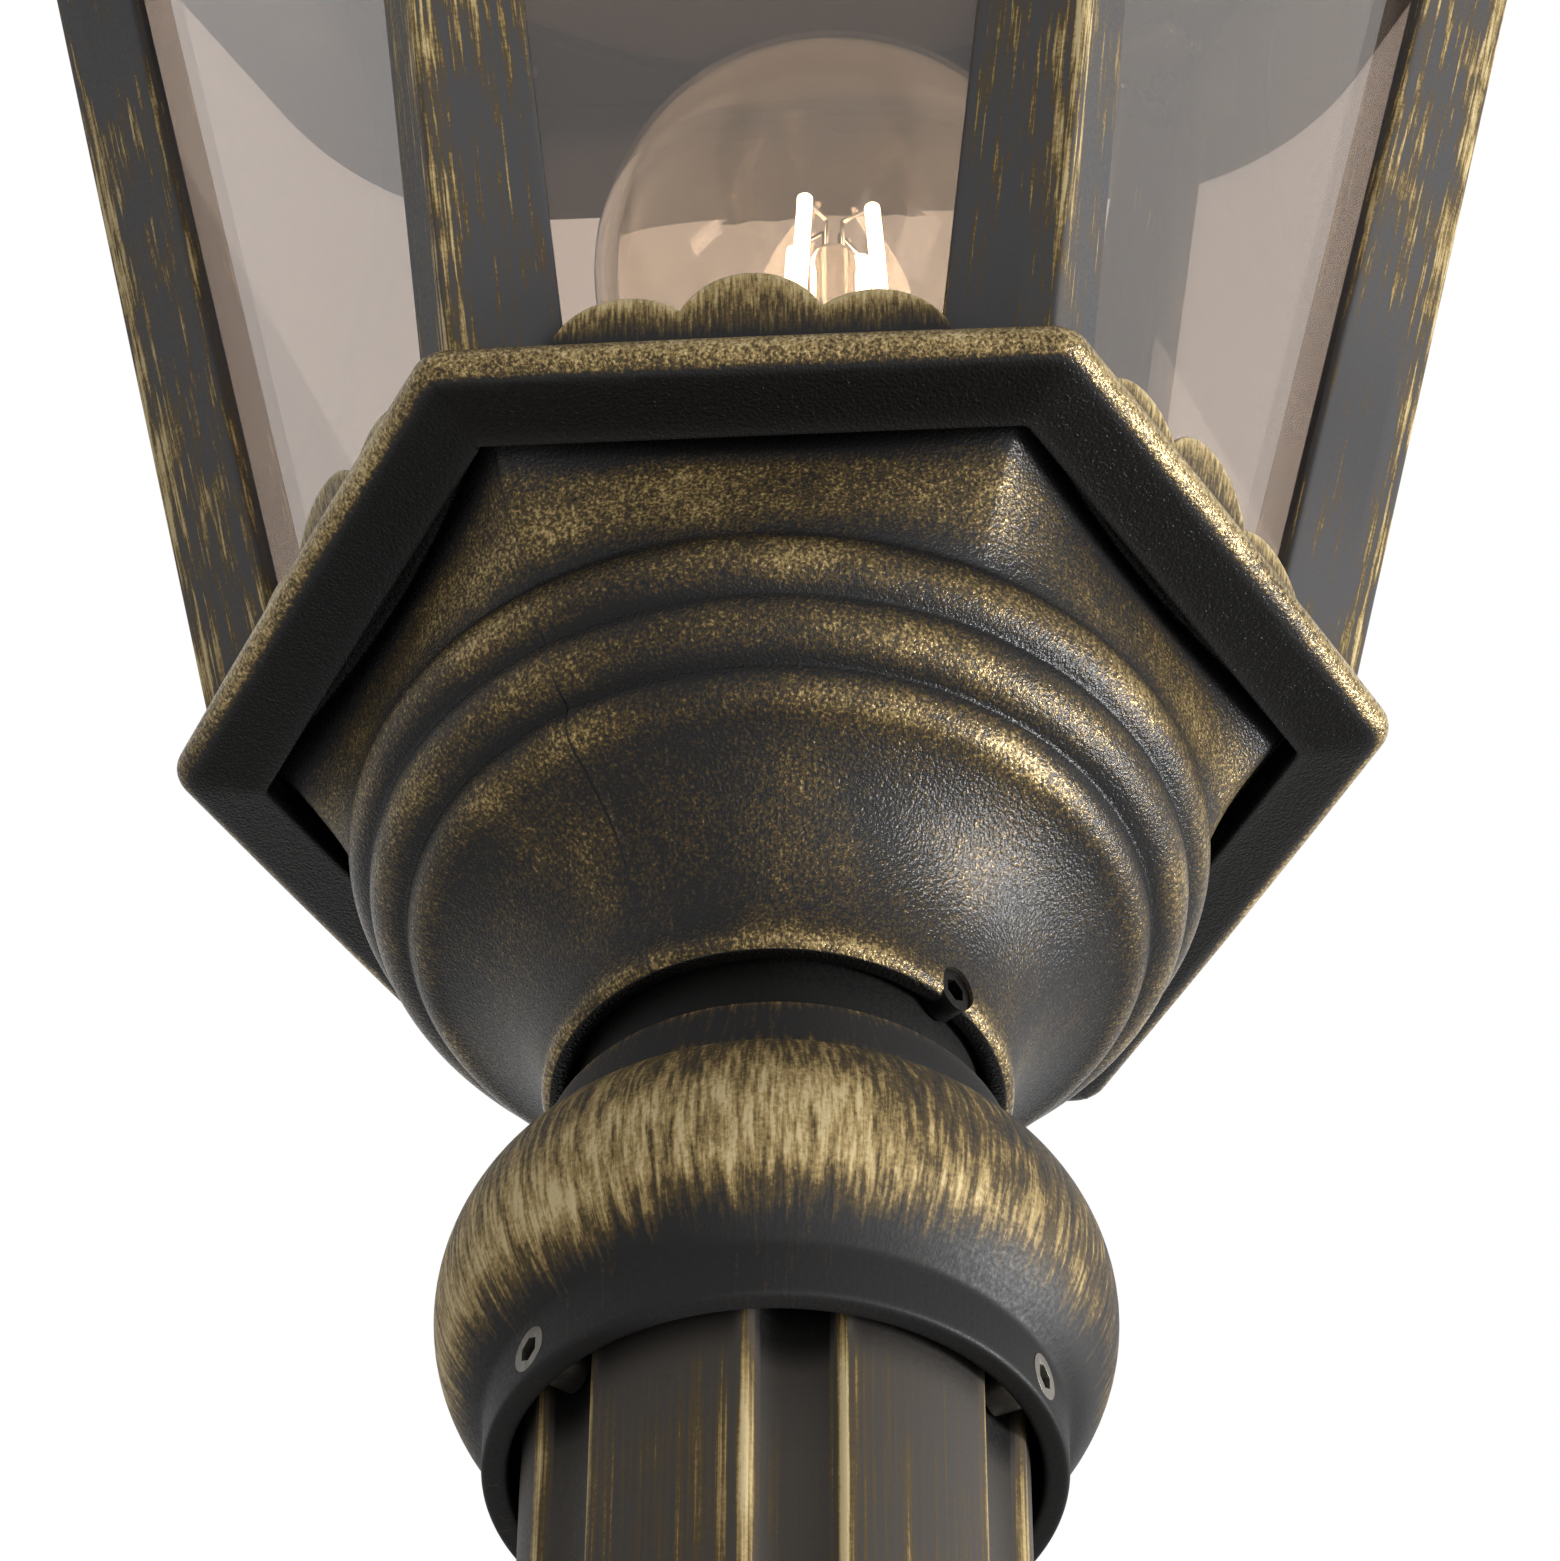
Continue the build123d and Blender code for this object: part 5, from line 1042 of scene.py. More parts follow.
class LAMPPOST_OT_collar(Operator):
    """Model the ball collar with its sleeve, rim and spigot"""

    bl_idname = "lamp_post.collar"
    bl_label = "Ball collar"

    BORE_R = 27.7
    SLEEVE_R = 30.5
    SLEEVE_H = 7.0
    BALL_MID_H = 20.0
    BALL_TOP = (28.5, 36.0)
    RIM_R = 25.6
    RIM_H = 44.5
    SPIGOT_R = 22.2
    SPIGOT_BORE_R = 15.0
    SCREW_R = 2.5
    SCREW_H = 3.6
    SCREW_ANGLES = (-142.3, -22.3, 97.7)
    SCREW_REACH = (26.0, 40.0)

    # Gold by height above the collar's lower edge, how much painted shade darkens one side, and the painted
    # shade of the bore
    GOLD_HEIGHTS = (5, 8, 10, 14, 20, 28, 35.5, 37.5, 42.5, 44)
    GOLD = (-0.12, -0.1, 0.25, 0.72, 0.66, 0.5, 0.45, 0.0, 0.0, 0.4)
    ONE_SIDE_SHADE = 0.4
    BORE_SHADE = -0.6
    BORE_EDGE = 0.8
    SPIGOT_EDGE = 1.0
    EDGE_PROUD = 0.2

    def execute(self, context):
        ball = (context.scene.lamp_post_sizes.ball_radius / MM, COLLAR_LOW + self.BALL_MID_H)
        sleeve_top = (self.SLEEVE_R, COLLAR_LOW + self.SLEEVE_H)
        ball_top = (self.BALL_TOP[0], COLLAR_LOW + self.BALL_TOP[1])
        rim_z = COLLAR_LOW + self.RIM_H
        outline = [(self.BORE_R, COLLAR_LOW), (self.SLEEVE_R, COLLAR_LOW)]
        outline += arc(sleeve_top, ball, ball_top, steps=40)
        outline += [ball_top, (self.RIM_R, rim_z), (self.SPIGOT_R, rim_z), (self.SPIGOT_R, COLLAR_TOP)]
        outline += [(self.SPIGOT_BORE_R, COLLAR_TOP), (self.SPIGOT_BORE_R, POLE_TOP), (self.BORE_R, POLE_TOP)]
        collar = turned("ball_collar_casting", outline, self.gold, softness=0.5, points=200, steps=240)
        screw_z = COLLAR_LOW + self.SCREW_H
        drill(collar, side_cutters(self.SCREW_R, self.SCREW_REACH, self.SCREW_ANGLES, screw_z))
        place(collar, "post", "cast_paint", SURFACES["long_brushed"], "ball_collar")
        return {"FINISHED"}

    def gold(self, spots, proud, angle):
        """Long strokes of gold over the ball stop short of the sleeve, and painted shade darkens the side
        towards +X and fills the bore.
        """
        radius, height = spots.T
        # Painted shade darkens the side towards +X
        side_shade = max(0, math.cos(math.radians(angle))) ** 2
        ball = np.interp(height - COLLAR_LOW, self.GOLD_HEIGHTS, self.GOLD) - self.ONE_SIDE_SHADE * side_shade
        # Painted shade in the bore, the spigot and the inside of the sleeve
        in_sleeve = (radius < self.SLEEVE_R - self.BORE_EDGE) & (height < COLLAR_LOW + self.SLEEVE_H)
        inner = (radius < self.SPIGOT_R + self.SPIGOT_EDGE) | in_sleeve & (proud < self.EDGE_PROUD)
        return np.where(inner, self.BORE_SHADE, ball)


class LAMPPOST_OT_pole(Operator):
    """Model the fluted pole"""

    bl_idname = "lamp_post.pole"
    bl_label = "Fluted pole"

    FLUTE_R = 6.2
    FLUTE_TURN = 7.7
    BORE_R = 21.5
    STEPS = 720
    LEVELS = 12

    # Reach, in steps round the pole, of the rounding of edges and of the windows that find them
    EDGE_REACH = 1.4
    FINE_REACH = 0.8
    BROAD_REACH = 4.0

    # Gold on edges, lobes and flutes, painted shade in the bore, and painted shade that deepens towards the
    # collar
    EDGE_GOLD = 0.75
    EDGE_FALL = 1.5
    LOBE_GOLD = 0.13
    FLUTE_GOLD = -0.08
    FLUTE_PROUD = -0.05
    BORE_SHADE = -0.6
    SHADE_DROPS = (16.0, 5.0, 0.0)
    SHADE_GOLD = (0.0, -0.12, -0.45)

    def execute(self, context):
        sizes = context.scene.lamp_post_sizes
        radius = sizes.pole_radius / MM
        centre = radius - sizes.flute_depth / MM + self.FLUTE_R
        turns = np.arange(self.STEPS) / self.STEPS * 360
        half_deg = SIDE_DEG / 2
        off = np.radians((turns - FRONT_DEG - self.FLUTE_TURN + half_deg) % SIDE_DEG - half_deg)
        reach = self.FLUTE_R**2 - (centre * np.sin(off)) ** 2
        floor = centre * np.cos(off) - np.sqrt(np.maximum(reach, 0))
        section = np.where(reach > 0, np.minimum(floor, radius), radius)
        rays = np.array([polar(1, turn) for turn in turns])
        outline = smoothed(rays * section[:, None], self.EDGE_REACH)
        levels, shade_gold = self.levels()
        outer = [np.c_[outline, np.full(self.STEPS, z)] for z in levels]
        inner = [np.c_[rays * self.BORE_R, np.full(self.STEPS, z)] for z in levels[::-1]]
        loops = np.array(outer + inner).transpose(1, 0, 2)
        # Painted shade deepens towards the collar, and fills the bore
        paint = self.gold(outline, rays)[:, None] + shade_gold
        paint = np.c_[paint, np.full_like(paint, self.BORE_SHADE)]
        pole = loft("fluted_tube", loops, paint, loops, ring=True)
        place(pole, "post", "pole_paint", SURFACES["pole"], "fluted_pole")
        return {"FINISHED"}

    def levels(self):
        """Heights of the pole's loops, and the painted shade of the collar at each, as a loss of gold."""
        socket = [COLLAR_LOW - drop for drop in self.SHADE_DROPS]
        levels = np.r_[np.linspace(POLE_LOW, socket[0], self.LEVELS), socket[1:], POLE_TOP]
        return levels, np.interp(levels, socket, self.SHADE_GOLD)

    def gold(self, outline, rays):
        """Gold lines on the edges of the flutes, a little on the lobes and none in the flutes."""
        finer, broader = smoothed(outline, self.FINE_REACH), smoothed(outline, self.BROAD_REACH)
        proud = ((finer - broader) * rays).sum(1)
        edge = np.clip(proud / proud.max(), 0, 1)
        flat = np.where(proud < self.FLUTE_PROUD, self.FLUTE_GOLD, self.LOBE_GOLD)
        return self.EDGE_GOLD * edge**self.EDGE_FALL + flat


class LAMPPOST_OT_bars(Operator):
    """Model the six corner bars of the lantern with their tabs"""

    bl_idname = "lamp_post.bars"
    bl_label = "Corner bars"

    RIDGE_R = 65.5
    LEAN = 0.2227
    SOFTNESS = 0.55
    POINTS = 88
    LEVELS = 40
    TAB_T = 3.0
    TAB_LENGTH = 18.0
    TAB_HALF = 6.0
    TAB_SINK = 1.0
    TAB_EASE = 0.4
    TAB_SOFTNESS = 0.5
    TAB_POINTS = 48

    # Gold from the ridge to the edge of a leg, and in waves along the bar of a depth and a pace
    RIDGE_BAND = (2.0, 4.0)
    EDGE_BAND = 1.2
    BAND_GOLD = (0.55, 0.45, 0.08, 0.08, 0.3)
    BACK_GOLD = -0.1
    WAVES = ((0.14, 6), (0.08, 17))
    STROKES_APART = 40

    def execute(self, context):
        sizes = context.scene.lamp_post_sizes
        width, wall = sizes.bar_width / MM, sizes.bar_thickness / MM
        edge_out = (-SLANT * width, SLANT * width)
        edge_in = (-SLANT * (width + wall), SLANT * (width - wall))
        outline = [(0.0, 0.0), edge_out, edge_in, (-wall / SLANT, 0.0)]
        outline += [(edge_in[0], -edge_in[1]), (edge_out[0], -edge_out[1])]
        section, _ = cast_outline(outline, self.SOFTNESS, self.POINTS)
        section[:, 0] -= section[:, 0].max()
        from_ridge = np.linalg.norm(section, axis=1)
        band = np.interp(from_ridge, (0, *self.RIDGE_BAND, width - self.EDGE_BAND, width), self.BAND_GOLD)
        outer = section[:, 0] > -np.abs(section[:, 1]) - wall / 2
        crest = np.where(outer, band, self.BACK_GOLD)
        for number in range(SIDES):
            self.make_bar(number, section, crest, wall)
        return {"FINISHED"}

    def make_bar(self, number, section, crest, wall):
        angle = SIDE_DEG * number
        lean = math.atan(self.LEAN)
        ray, side = polar(1, angle), polar(1, angle + 90)
        starts = np.random.default_rng(number).uniform(0, math.tau, len(self.WAVES))
        loops, paints, strokes = [], [], []
        for level in np.linspace(0, 1, self.LEVELS):
            z = CAGE_FOOT + (CAGE_TOP - CAGE_FOOT) * level
            along = (z + section[:, 0] * math.sin(lean)) / math.cos(lean)
            out = self.RIDGE_R + section[:, 0] * math.cos(lean) + along * math.sin(lean)
            flat = out[:, None] * ray + section[:, 1:] * side
            loops.append(np.c_[flat, np.full(len(section), FLANGE_Z + z)])
            waves = (deep * math.sin(level * pace + start) for (deep, pace), start in zip(self.WAVES, starts))
            paints.append(crest + sum(waves))
            strokes.append(np.c_[section + self.STROKES_APART * number, along])
        bar = loft(f"corner_bar_casting_{number + 1}", np.array(loops), np.array(paints), np.array(strokes))
        for low in (CAGE_FOOT, CAGE_TOP - self.TAB_T):
            self.add_tab(bar, low, ray, side, wall)
        place(bar, "head", "bar_paint", SURFACES["bar"], f"corner_bar_{number + 1}")

    def add_tab(self, bar, low, ray, side, wall):
        """Join a rounded screw tab to the inside of a bar."""
        half, ease = self.TAB_HALF, self.TAB_EASE
        tip = self.RIDGE_R + self.LEAN * low - wall / SLANT + self.TAB_SINK
        end = tip - self.TAB_LENGTH
        corners = [(tip, 0), (tip - half, half), (end, half), (end, -half), (tip - half, -half)]
        section, _ = cast_outline(corners, self.TAB_SOFTNESS, self.TAB_POINTS)
        centre = section.mean(0)
        loops = []
        for inset, height in ((ease, 0.0), (0.0, ease), (0.0, self.TAB_T - ease), (ease, self.TAB_T)):
            shrunk = centre + (section - centre) * (1 - inset / half)
            flat = shrunk[:, :1] * ray + shrunk[:, 1:] * side
            loops.append(np.c_[flat, np.full(len(section), FLANGE_Z + low + height)])
        loops = np.array(loops)
        tab = loft("tab", loops, np.zeros(loops.shape[:2]), loops)
        with bpy.context.temp_override(
            active_object=bar, object=bar, selected_objects=[bar, tab], selected_editable_objects=[bar, tab]
        ):
            bpy.ops.object.join()


class LAMPPOST_OT_strips(Operator):
    """Model the six scalloped strips at the foot of the panes"""

    bl_idname = "lamp_post.strips"
    bl_label = "Scalloped strips"

    STEPS = 150
    POINTS = 40
    SOFTNESS = 0.55
    VALLEY = (7.9, 8.0)
    SIDE_H = 10.0
    MID_H = 13.1
    END_H = 4.7
    LEAST_RISE = 0.02

    # Gold by height up the strip, with painted shade at its foot
    GOLD_HEIGHTS = (3, 5, 9)
    GOLD = (-0.3, 0.2, 0.48)
    STROKES_APART = 50

    def execute(self, context):
        low, high = (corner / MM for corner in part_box("scalloped_strip_5"))
        half = (high.x - low.x) / 2
        valley, other = self.VALLEY, (-self.VALLEY[0], self.VALLEY[1])
        side_x = (valley[0] + half) / 2
        lobes = arc((-half, self.END_H), (-side_x, self.SIDE_H), other, steps=40)
        lobes += arc(other, (0, self.MID_H), valley, steps=40)
        lobes += arc(valley, (side_x, self.SIDE_H), (half, self.END_H), steps=40)
        lobes = np.array(lobes + [(half, self.END_H)])
        marks = np.linspace(-half, half, self.STEPS)
        tops = np.interp(marks, lobes[:, 0], lobes[:, 1])
        for number in range(SIDES):
            self.make_strip(number, marks, tops, low, high)
        return {"FINISHED"}

    def make_strip(self, number, marks, tops, low, high):
        angle = SIDE_DEG * number + SIDE_DEG / 2
        ray, side = polar(1, angle), polar(1, angle + 90)
        thick = bpy.context.scene.lamp_post_sizes.strip_thickness / MM
        lean = math.atan(LAMPPOST_OT_bars.LEAN * math.cos(HALF_SIDE))
        front = -low.y - (high.z - low.z) * math.tan(lean)
        loops, paints, strokes = [], [], []
        for x, top in zip(marks, tops):
            section = [(0, 0), (thick, 0), (thick, top), (0, top)]
            spots, proud = cast_outline(section, self.SOFTNESS, self.POINTS)
            out = front - spots[:, 0] / math.cos(lean) + spots[:, 1] * math.sin(lean)
            rise = np.maximum(spots[:, 1] * math.cos(lean), self.LEAST_RISE)
            loops.append(np.c_[out[:, None] * ray + x * side, low.z + rise])
            # Painted shade at the strip's foot, gold higher up
            gold_and_foot_shade = np.interp(spots[:, 1], self.GOLD_HEIGHTS, self.GOLD)
            paints.append(edge_gold(proud, gain=1.2, least=-0.3, most=0.4) + gold_and_foot_shade)
            strokes.append(np.c_[np.full(self.POINTS, x + self.STROKES_APART * number), spots])
        strip = loft(f"scalloped_casting_{number + 1}", np.array(loops), np.array(paints), np.array(strokes))
        place(strip, "head", "cast_paint", SURFACES["strip"], f"scalloped_strip_{number + 1}")


class LAMPPOST_OT_glazing(Operator):
    """Glaze the lantern"""

    bl_idname = "lamp_post.glazing"
    bl_label = "Panes"

    def execute(self, context):
        dress_nodes(SURFACES["pane"], *(f"glass_pane_{number + 1}" for number in range(SIDES)))
        return {"FINISHED"}


class LAMPPOST_OT_bulb(Operator):
    """Model the clear bulb"""

    bl_idname = "lamp_post.bulb"
    bl_label = "Bulb"

    WALL = 0.8
    NECK_R = 14.0
    CAP_INNER_R = 11.7
    NECK_RISE = 5.0
    NECK_SAG = 2.2
    TOUCH_DEG = -35.0
    CROWN_DEG = 89.6
    CROWN_POINTS = 60
    STEPS = 128

    def half_outline(self, inset):
        """Outline from the cap to the crown, set in by a wall."""
        radius = (BULB_HIGH.x - BULB_LOW.x) / 2 / MM - inset
        middle = BULB_HIGH.z / MM - radius - inset
        low = BULB_LOW.z / MM
        cap_r = self.CAP_INNER_R - inset
        neck = (self.NECK_R - inset, low + 2 * self.NECK_RISE)
        turns = np.radians(np.linspace(self.TOUCH_DEG, self.CROWN_DEG, self.CROWN_POINTS))
        globe = [(radius * math.cos(turn), middle + radius * math.sin(turn)) for turn in turns]
        points = [(cap_r, low), (cap_r, low + self.NECK_RISE), neck]
        return points + bow(neck, globe[0], -self.NECK_SAG)[1:] + globe

    def execute(self, context):
        spots = np.array(self.half_outline(0) + self.half_outline(self.WALL)[::-1])
        axis = ((BULB_LOW.x + BULB_HIGH.x) / 2 / MM, 0.0)
        loops = revolved(spots, [360 * step / self.STEPS for step in range(self.STEPS)], axis)
        globe = loft("blown_globe", loops, np.zeros(loops.shape[:2]), loops, ring=True)
        place(globe, "bulb", "bulb_glass", SURFACES["bulb"], "bulb_globe")
        dress_nodes(SURFACES["bulb"], "bulb_stem")
        dress_nodes(SURFACES["filament"], "bulb_filaments")
        dress_nodes(SURFACES["steel"], "bulb_filament_wires", "bulb_cap")
        dress_nodes(SURFACES["black_glass"], "bulb_cap_insulator")
        dress_nodes(SURFACES["brass"], "bulb_tip_contact")
        return {"FINISHED"}


class LAMPPOST_OT_inside(Operator):
    """Finish the lampholder, its tray and the wiring"""

    bl_idname = "lamp_post.inside"
    bl_label = "Lampholder and wiring"

    def execute(self, context):
        dress_nodes(SURFACES["porcelain"], "lampholder_body", "terminal_block")
        dress_nodes(
            SURFACES["brass"], "lampholder_nipple", "nipple_nut", "lampholder_screw_shell",
            "lampholder_centre_contact", "earth_tag",
        )
        dress_nodes(SURFACES["steel"], "lamp_tray", "tray_screws", "terminal_screws", "earth_screw")
        dress_nodes(SURFACES["brown_lead"], "lead_brown")
        dress_nodes(SURFACES["blue_lead"], "lead_blue")
        dress_nodes(SURFACES["green_lead"], "lead_earth")
        return {"FINISHED"}


class LAMPPOST_OT_fasteners(Operator):
    """Finish the screws and clips"""

    bl_idname = "lamp_post.fasteners"
    bl_label = "Screws and clips"

    def execute(self, context):
        dress_nodes(SURFACES["black_steel"], "neck_set_screws", "pane_clips", "pane_clip_screws")
        dress_nodes(
            SURFACES["steel"], "bar_foot_screws", "frame_screws", "roof_screws", "finial_stud", "stud_nut"
        )
        dress_nodes(SURFACES["worn_steel"], "foot_grub_screws", "collar_grub_screws")
        return {"FINISHED"}


class LAMPPOST_OT_roof(Operator):
    """Model the roof, and finish the frame that it rests on"""

    bl_idname = "lamp_post.roof"
    bl_label = "Roof"

    ROUND_SHARE = 0.33
    BRIM_T = 3.5
    WALL = 3.0
    SWEEP_R = 116.0
    SWEEP_TOP_R = 50.0
    SWEEP_SAG = 9.0
    DRUM = (48.5, 52.0)
    DRUM_H = 4.0
    DOME_TOP = (15.0, 84.0)
    DOME_SAG = 7.0
    STUD_R = 3.1
    ROWS = 220
    PER_SIDE = 60
    CROWDING = 0.5
    SCREW_R = 2.0
    SCREW_CIRCLE_R = 115.1
    SCREW_ANGLES = (0.0, 120.0, 240.0)
    SCREW_REACH = (-2.0, 6.0)
    FRAME_EASE_MM = 0.6

    # Where the inside begins, and the gold on the outside
    DOME_MID_R = 14.0
    DOME_GAP = 4.0
    BRIM_SHARE = 0.86
    BRIM_EDGE = 0.6
    DUST = 0.16

    def corner(self, radius, off_corner):
        return hexagon(radius, off_corner, radius * self.ROUND_SHARE)

    def sweep(self, low, top, off_corner):
        """Points up the hollow sweep of the roof, from one corner radius and height to another."""
        points = [*bow(low, top, -self.SWEEP_SAG, steps=30), top]
        return [(self.corner(radius, off_corner), height) for radius, height in points]

    def column(self, off_corner):
        """Outline of the roof in the plane at an angle from the nearest corner."""
        brim = self.corner(bpy.context.scene.lamp_post_sizes.brim_corner / MM, off_corner)
        drum_r, drum_z = self.DRUM
        dome_low, dome_top = (drum_r, drum_z + self.DRUM_H), self.DOME_TOP
        crown_z = ROOF_TOP - ROOF_LOW
        under_z = drum_z - self.WALL / 2
        floor_z = drum_z + self.WALL / 2
        waist = self.SWEEP_TOP_R * math.cos(HALF_SIDE) - self.WALL
        under_dome = (drum_r - self.WALL, dome_low[1] - self.WALL / 2)
        under_crown = (dome_top[0] - self.WALL / 2, dome_top[1] - self.WALL)
        under_low, under_top = (self.SWEEP_R - self.WALL, 0.0), (self.SWEEP_TOP_R - self.WALL, under_z)
        points = [(brim, 0.0), (brim, self.BRIM_T)]
        points += self.sweep((self.SWEEP_R, self.BRIM_T), (self.SWEEP_TOP_R, drum_z), off_corner)
        points += [(drum_r, drum_z)] + bow(dome_low, dome_top, self.DOME_SAG)
        points += [dome_top, (dome_top[0], crown_z), (self.STUD_R, crown_z), (self.STUD_R, under_crown[1])]
        points += bow(under_dome, under_crown, self.DOME_SAG)[::-1]
        points += [(under_dome[0], floor_z), (waist, floor_z), (waist, under_z)]
        return points + self.sweep(under_low, under_top, off_corner)[::-1]

    def paint(self, spots, proud, off_corner, angle):
        """Gold dusts the outside, and the inside and the brim's underside keep the lining."""
        radius, height = spots.T
        drum_r, drum_z = self.DRUM
        dome_z = self.DOME_TOP[1]
        low = (self.SWEEP_R - self.WALL / 2, self.BRIM_T / 2)
        top = (self.SWEEP_TOP_R - self.WALL / 2, drum_z)
        middle = np.array(self.sweep(low, top, off_corner))[::-1]
        shell = np.interp(radius, middle[:, 0], middle[:, 1])
        dome_r = np.interp(height, [drum_z, dome_z], [drum_r - self.WALL / 2, self.DOME_MID_R])
        in_dome = (radius < dome_r - self.DOME_GAP) & (height < dome_z)
        hidden = np.where(height > drum_z, in_dome, height < shell)
        under_brim = (radius > low[0] * self.BRIM_SHARE) & (height < self.BRIM_EDGE)
        gold = edge_gold(proud, gain=1.4, least=-0.5, most=0.45) + self.DUST
        return spots, np.where(hidden | under_brim, INSIDE, gold)

    def execute(self, context):
        softness = context.scene.lamp_post_sizes.cast_softness / MM
        roof = six_sided(
            "cast_roof", self.column, softness, self.ROWS, self.PER_SIDE, self.CROWDING, self.paint, ROOF_LOW
        )
        low, high = (ROOF_LOW + reach for reach in self.SCREW_REACH)
        drill(roof, upright_cutters(self.SCREW_R, self.SCREW_CIRCLE_R, self.SCREW_ANGLES, low, high))
        place(roof, "roof", "roof_paint", SURFACES["sand_cast"], "roof_shell")
        dress_nodes(SURFACES["plain_gilt"], "top_frame", ease_mm=self.FRAME_EASE_MM)
        return {"FINISHED"}


class LAMPPOST_OT_finial(Operator):
    """Model the finial: a turned knob with a spike, hollow for its stud"""

    bl_idname = "lamp_post.finial"
    bl_label = "Finial"

    BASE_R = 11.0
    BASE_H = 3.0
    NECK_R = 5.0
    NECK_LOW_H = 6.0
    NECK_TOP_H = 9.5
    BALL_R = 9.0
    BALL_LOW_H = 11.0
    SPIKE_SAG = 2.0
    TIP_R = 1.5
    TIP_SHARE = 0.7
    STUD_R = 3.0
    STUD_H = 14.0
    PAST_AXIS = -2.0
    DUST = 0.3

    def execute(self, context):
        low, base_r, neck_r, tip_r = ROOF_TOP, self.BASE_R, self.NECK_R, self.TIP_R
        aside = self.BALL_R * SLANT
        ball_z = low + self.BALL_LOW_H + aside
        ball_top, spike_top = (aside, ball_z + aside), (tip_r, FINIAL_TOP - tip_r)
        outline = [(self.STUD_R, low), (base_r, low), (base_r, low + self.BASE_H)]
        outline += [(neck_r, low + self.NECK_LOW_H), (neck_r, low + self.NECK_TOP_H)]
        outline += arc((aside, ball_z - aside), (self.BALL_R, ball_z), ball_top)
        outline += bow(ball_top, spike_top, -self.SPIKE_SAG)
        outline += [spike_top, (tip_r * self.TIP_SHARE, FINIAL_TOP - tip_r * (1 - self.TIP_SHARE))]
        outline += [(0, FINIAL_TOP)]
        outline += [(self.PAST_AXIS, FINIAL_TOP), (self.PAST_AXIS, low + self.STUD_H)]
        outline += [(self.STUD_R, low + self.STUD_H)]
        finial = turned("turned_finial", outline, self.gold, softness=0.3, points=140, steps=72)
        place(finial, "roof", "cast_paint", SURFACES["sand_cast"], "finial")
        return {"FINISHED"}

    def gold(self, spots, proud, angle):
        return edge_gold(proud, gain=1.0, least=-0.4, most=0.3) + self.DUST


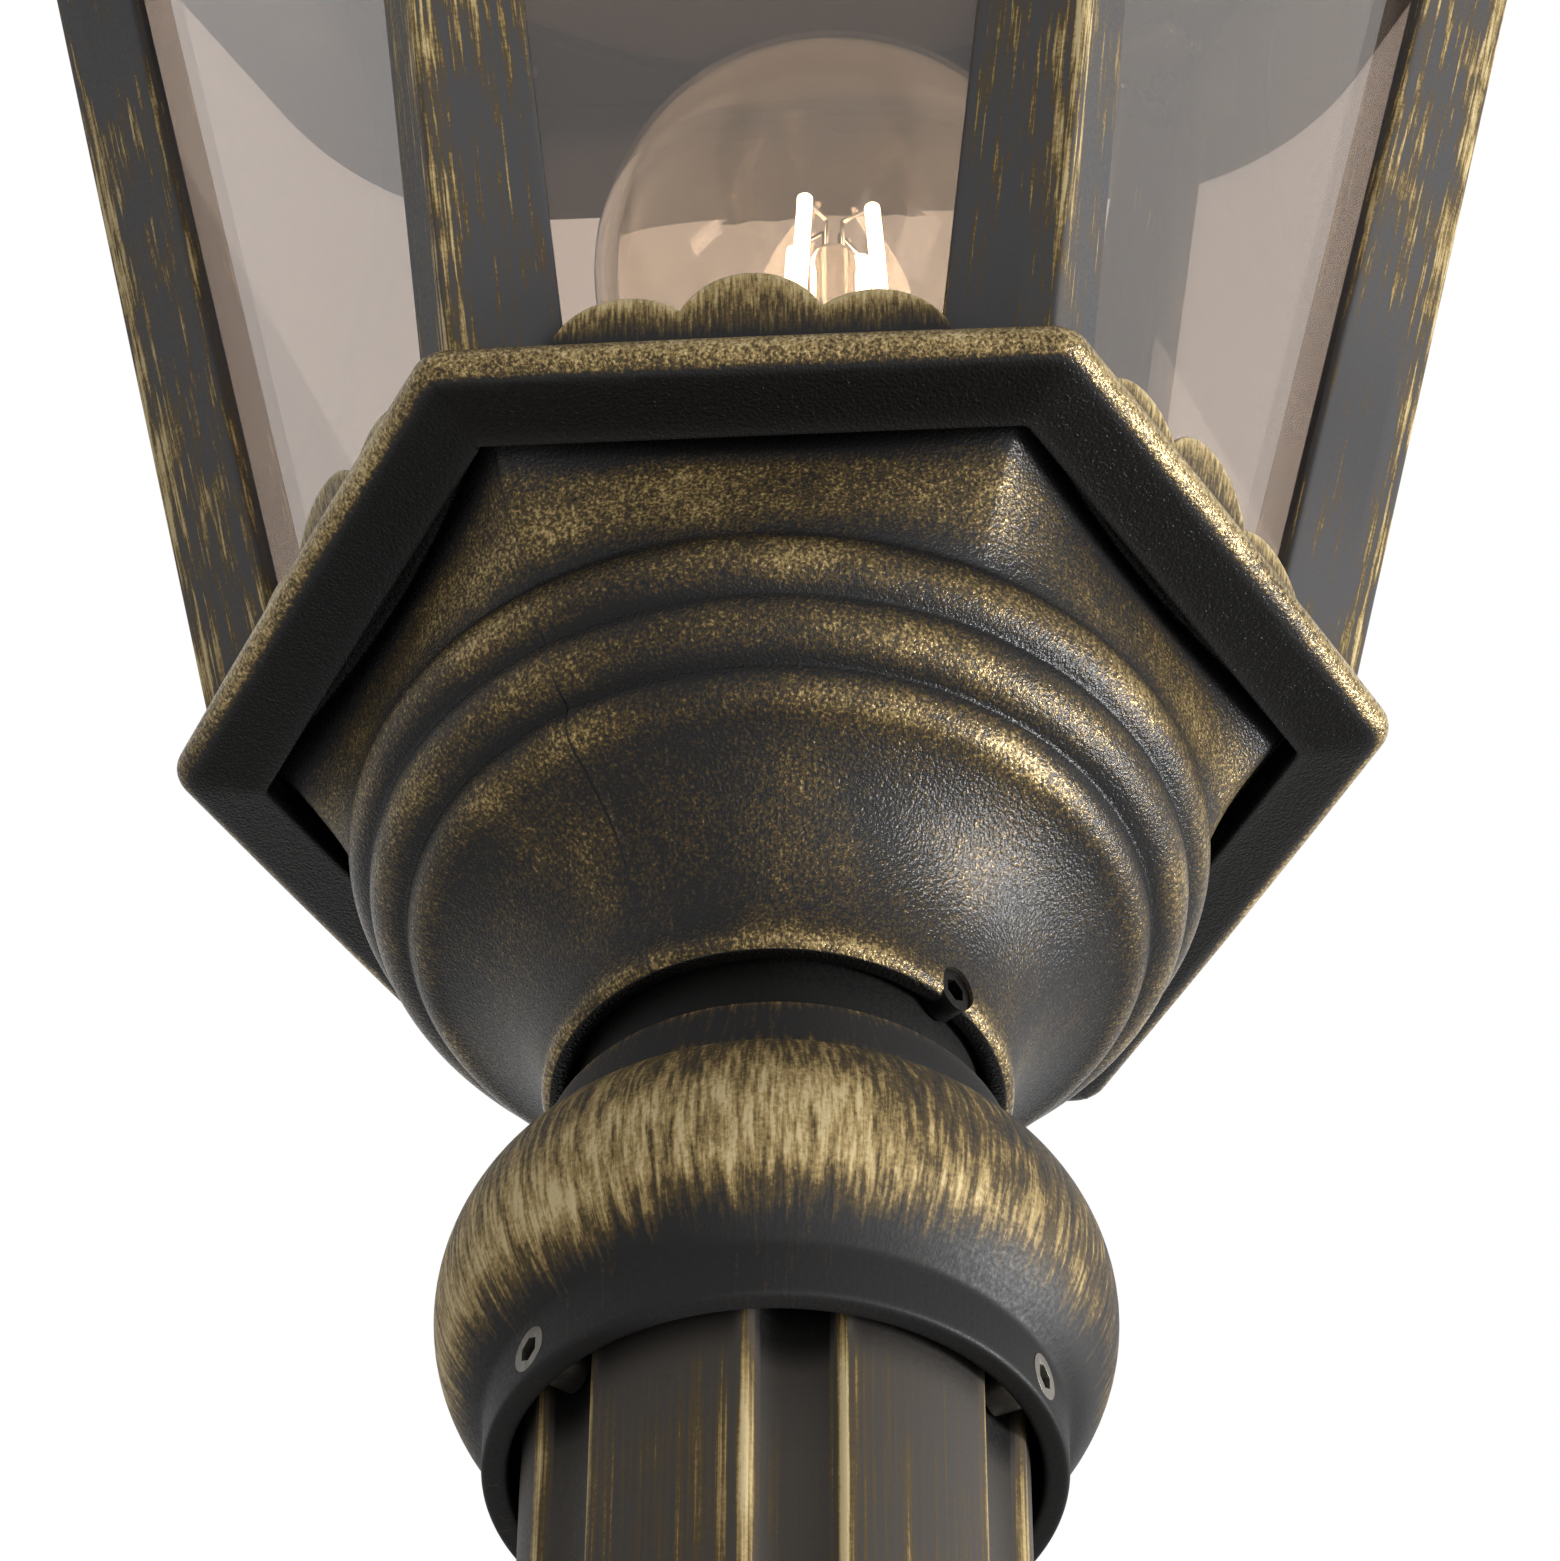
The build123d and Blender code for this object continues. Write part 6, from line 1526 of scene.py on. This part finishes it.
class LAMPPOST_OT_foot(Operator):
    """Model the foot casting"""

    bl_idname = "lamp_post.foot"
    bl_label = "Foot"

    LEDGE_H = 9.0
    LEDGE_ROUND = 4.0
    STEP = (56.0, 13.0)
    ROLL_R = 8.0
    COVE_LOW = (45.0, 24.0)
    COVE_SAG = 3.0
    BAND_R = 33.05
    BAND_H = 13.0
    BORE_R = 26.55
    SEAT_Z = 14.0
    CAVITY = (46.0, 8.0)
    CABLE_R = 12.0
    HOLE_R = 4.5
    HOLE_CIRCLE_R = 68.0
    HOLE_ANGLES = (30.0, 150.0, 270.0)
    HOLE_REACH = (-2.0, LEDGE_H + 3.0)
    SCREW_R = 3.0
    SCREW_DROP = 6.0
    SCREW_ANGLES = (-22.3, 97.7, 217.7)
    SCREW_REACH = (BORE_R - 2.0, BAND_R + 5.0)

    # Gold on the outside, and painted shade in the bore and on the underside
    DUST = 0.16
    BORE_SHADE = -0.5
    BORE_EDGE = 0.8
    UNDER_EDGE = 0.3

    def rounded(self, centre, radius):
        """Points of a quarter round from the side to the top, with its last point."""
        x, z = centre
        middle = (x + SLANT * radius, z + SLANT * radius)
        return arc((x + radius, z), middle, (x, z + radius)) + [(x, z + radius)]

    def execute(self, context):
        outer = context.scene.lamp_post_sizes.foot_radius / MM
        step_r, step_z = self.STEP
        cavity_r, cavity_z = self.CAVITY
        band_low = (self.BAND_R, FOOT_TOP - self.BAND_H)
        outline = [(cavity_r, 0.0), (outer, 0.0)]
        outline += self.rounded((outer - self.LEDGE_ROUND, self.LEDGE_H - self.LEDGE_ROUND), self.LEDGE_ROUND)
        outline += [(step_r, self.LEDGE_H)]
        outline += self.rounded((step_r - self.ROLL_R, step_z), self.ROLL_R)
        outline += [(self.COVE_LOW[0], step_z + self.ROLL_R)]
        outline += bow(self.COVE_LOW, band_low, -self.COVE_SAG)
        outline += [band_low, (self.BAND_R, FOOT_TOP), (self.BORE_R, FOOT_TOP), (self.BORE_R, self.SEAT_Z)]
        outline += [(self.CABLE_R, self.SEAT_Z), (self.CABLE_R, cavity_z), (cavity_r, cavity_z)]
        foot = turned("cast_foot", outline, self.gold, softness=0.5, points=240, steps=240)
        screw_z = FOOT_TOP - self.SCREW_DROP
        holes = upright_cutters(self.HOLE_R, self.HOLE_CIRCLE_R, self.HOLE_ANGLES, *self.HOLE_REACH)
        drill(foot, holes + side_cutters(self.SCREW_R, self.SCREW_REACH, self.SCREW_ANGLES, screw_z))
        place(foot, "post", "cast_paint", SURFACES["sand_cast"], "foot_casting")
        return {"FINISHED"}

    def gold(self, spots, proud, angle):
        # Painted shade in the bore and on the underside
        inside = (spots[:, 0] < self.BORE_R + self.BORE_EDGE) | (spots[:, 1] < self.UNDER_EDGE)
        outside_gold = edge_gold(proud, gain=1.4, least=-0.5, most=0.45) + self.DUST
        return np.where(inside, self.BORE_SHADE, outside_gold)


STEPS = (
    LAMPPOST_OT_stage,
    LAMPPOST_OT_surfaces,
    LAMPPOST_OT_head,
    LAMPPOST_OT_collar,
    LAMPPOST_OT_pole,
    LAMPPOST_OT_bars,
    LAMPPOST_OT_strips,
    LAMPPOST_OT_glazing,
    LAMPPOST_OT_bulb,
    LAMPPOST_OT_inside,
    LAMPPOST_OT_fasteners,
    LAMPPOST_OT_roof,
    LAMPPOST_OT_finial,
    LAMPPOST_OT_foot,
)
SETTINGS = (LampPostSizes, LampPostColours, LampPostStudio)


class LAMPPOST_PT_panel(Panel):
    """Lists the steps of the model"""

    bl_idname = "LAMPPOST_PT_panel"
    bl_label = "Lamp Post"
    bl_space_type = "VIEW_3D"
    bl_region_type = "UI"
    bl_category = "Lamp Post"

    def draw(self, context):
        for step in STEPS:
            self.layout.operator(step.bl_idname)


def register():
    for kind in (*SETTINGS, *STEPS, LAMPPOST_PT_panel):
        bpy.utils.register_class(kind)
    bpy.types.Scene.lamp_post_sizes = PointerProperty(type=LampPostSizes)
    bpy.types.Scene.lamp_post_colours = PointerProperty(type=LampPostColours)
    bpy.types.Scene.lamp_post_studio = PointerProperty(type=LampPostStudio)


def unregister():
    del bpy.types.Scene.lamp_post_studio
    del bpy.types.Scene.lamp_post_colours
    del bpy.types.Scene.lamp_post_sizes
    for kind in (LAMPPOST_PT_panel, *reversed(STEPS), *reversed(SETTINGS)):
        bpy.utils.unregister_class(kind)


def main():
    register()
    for step in STEPS:
        group, name = step.bl_idname.split(".")
        getattr(getattr(bpy.ops, group), name)()


if __name__ == "__main__":
    main()
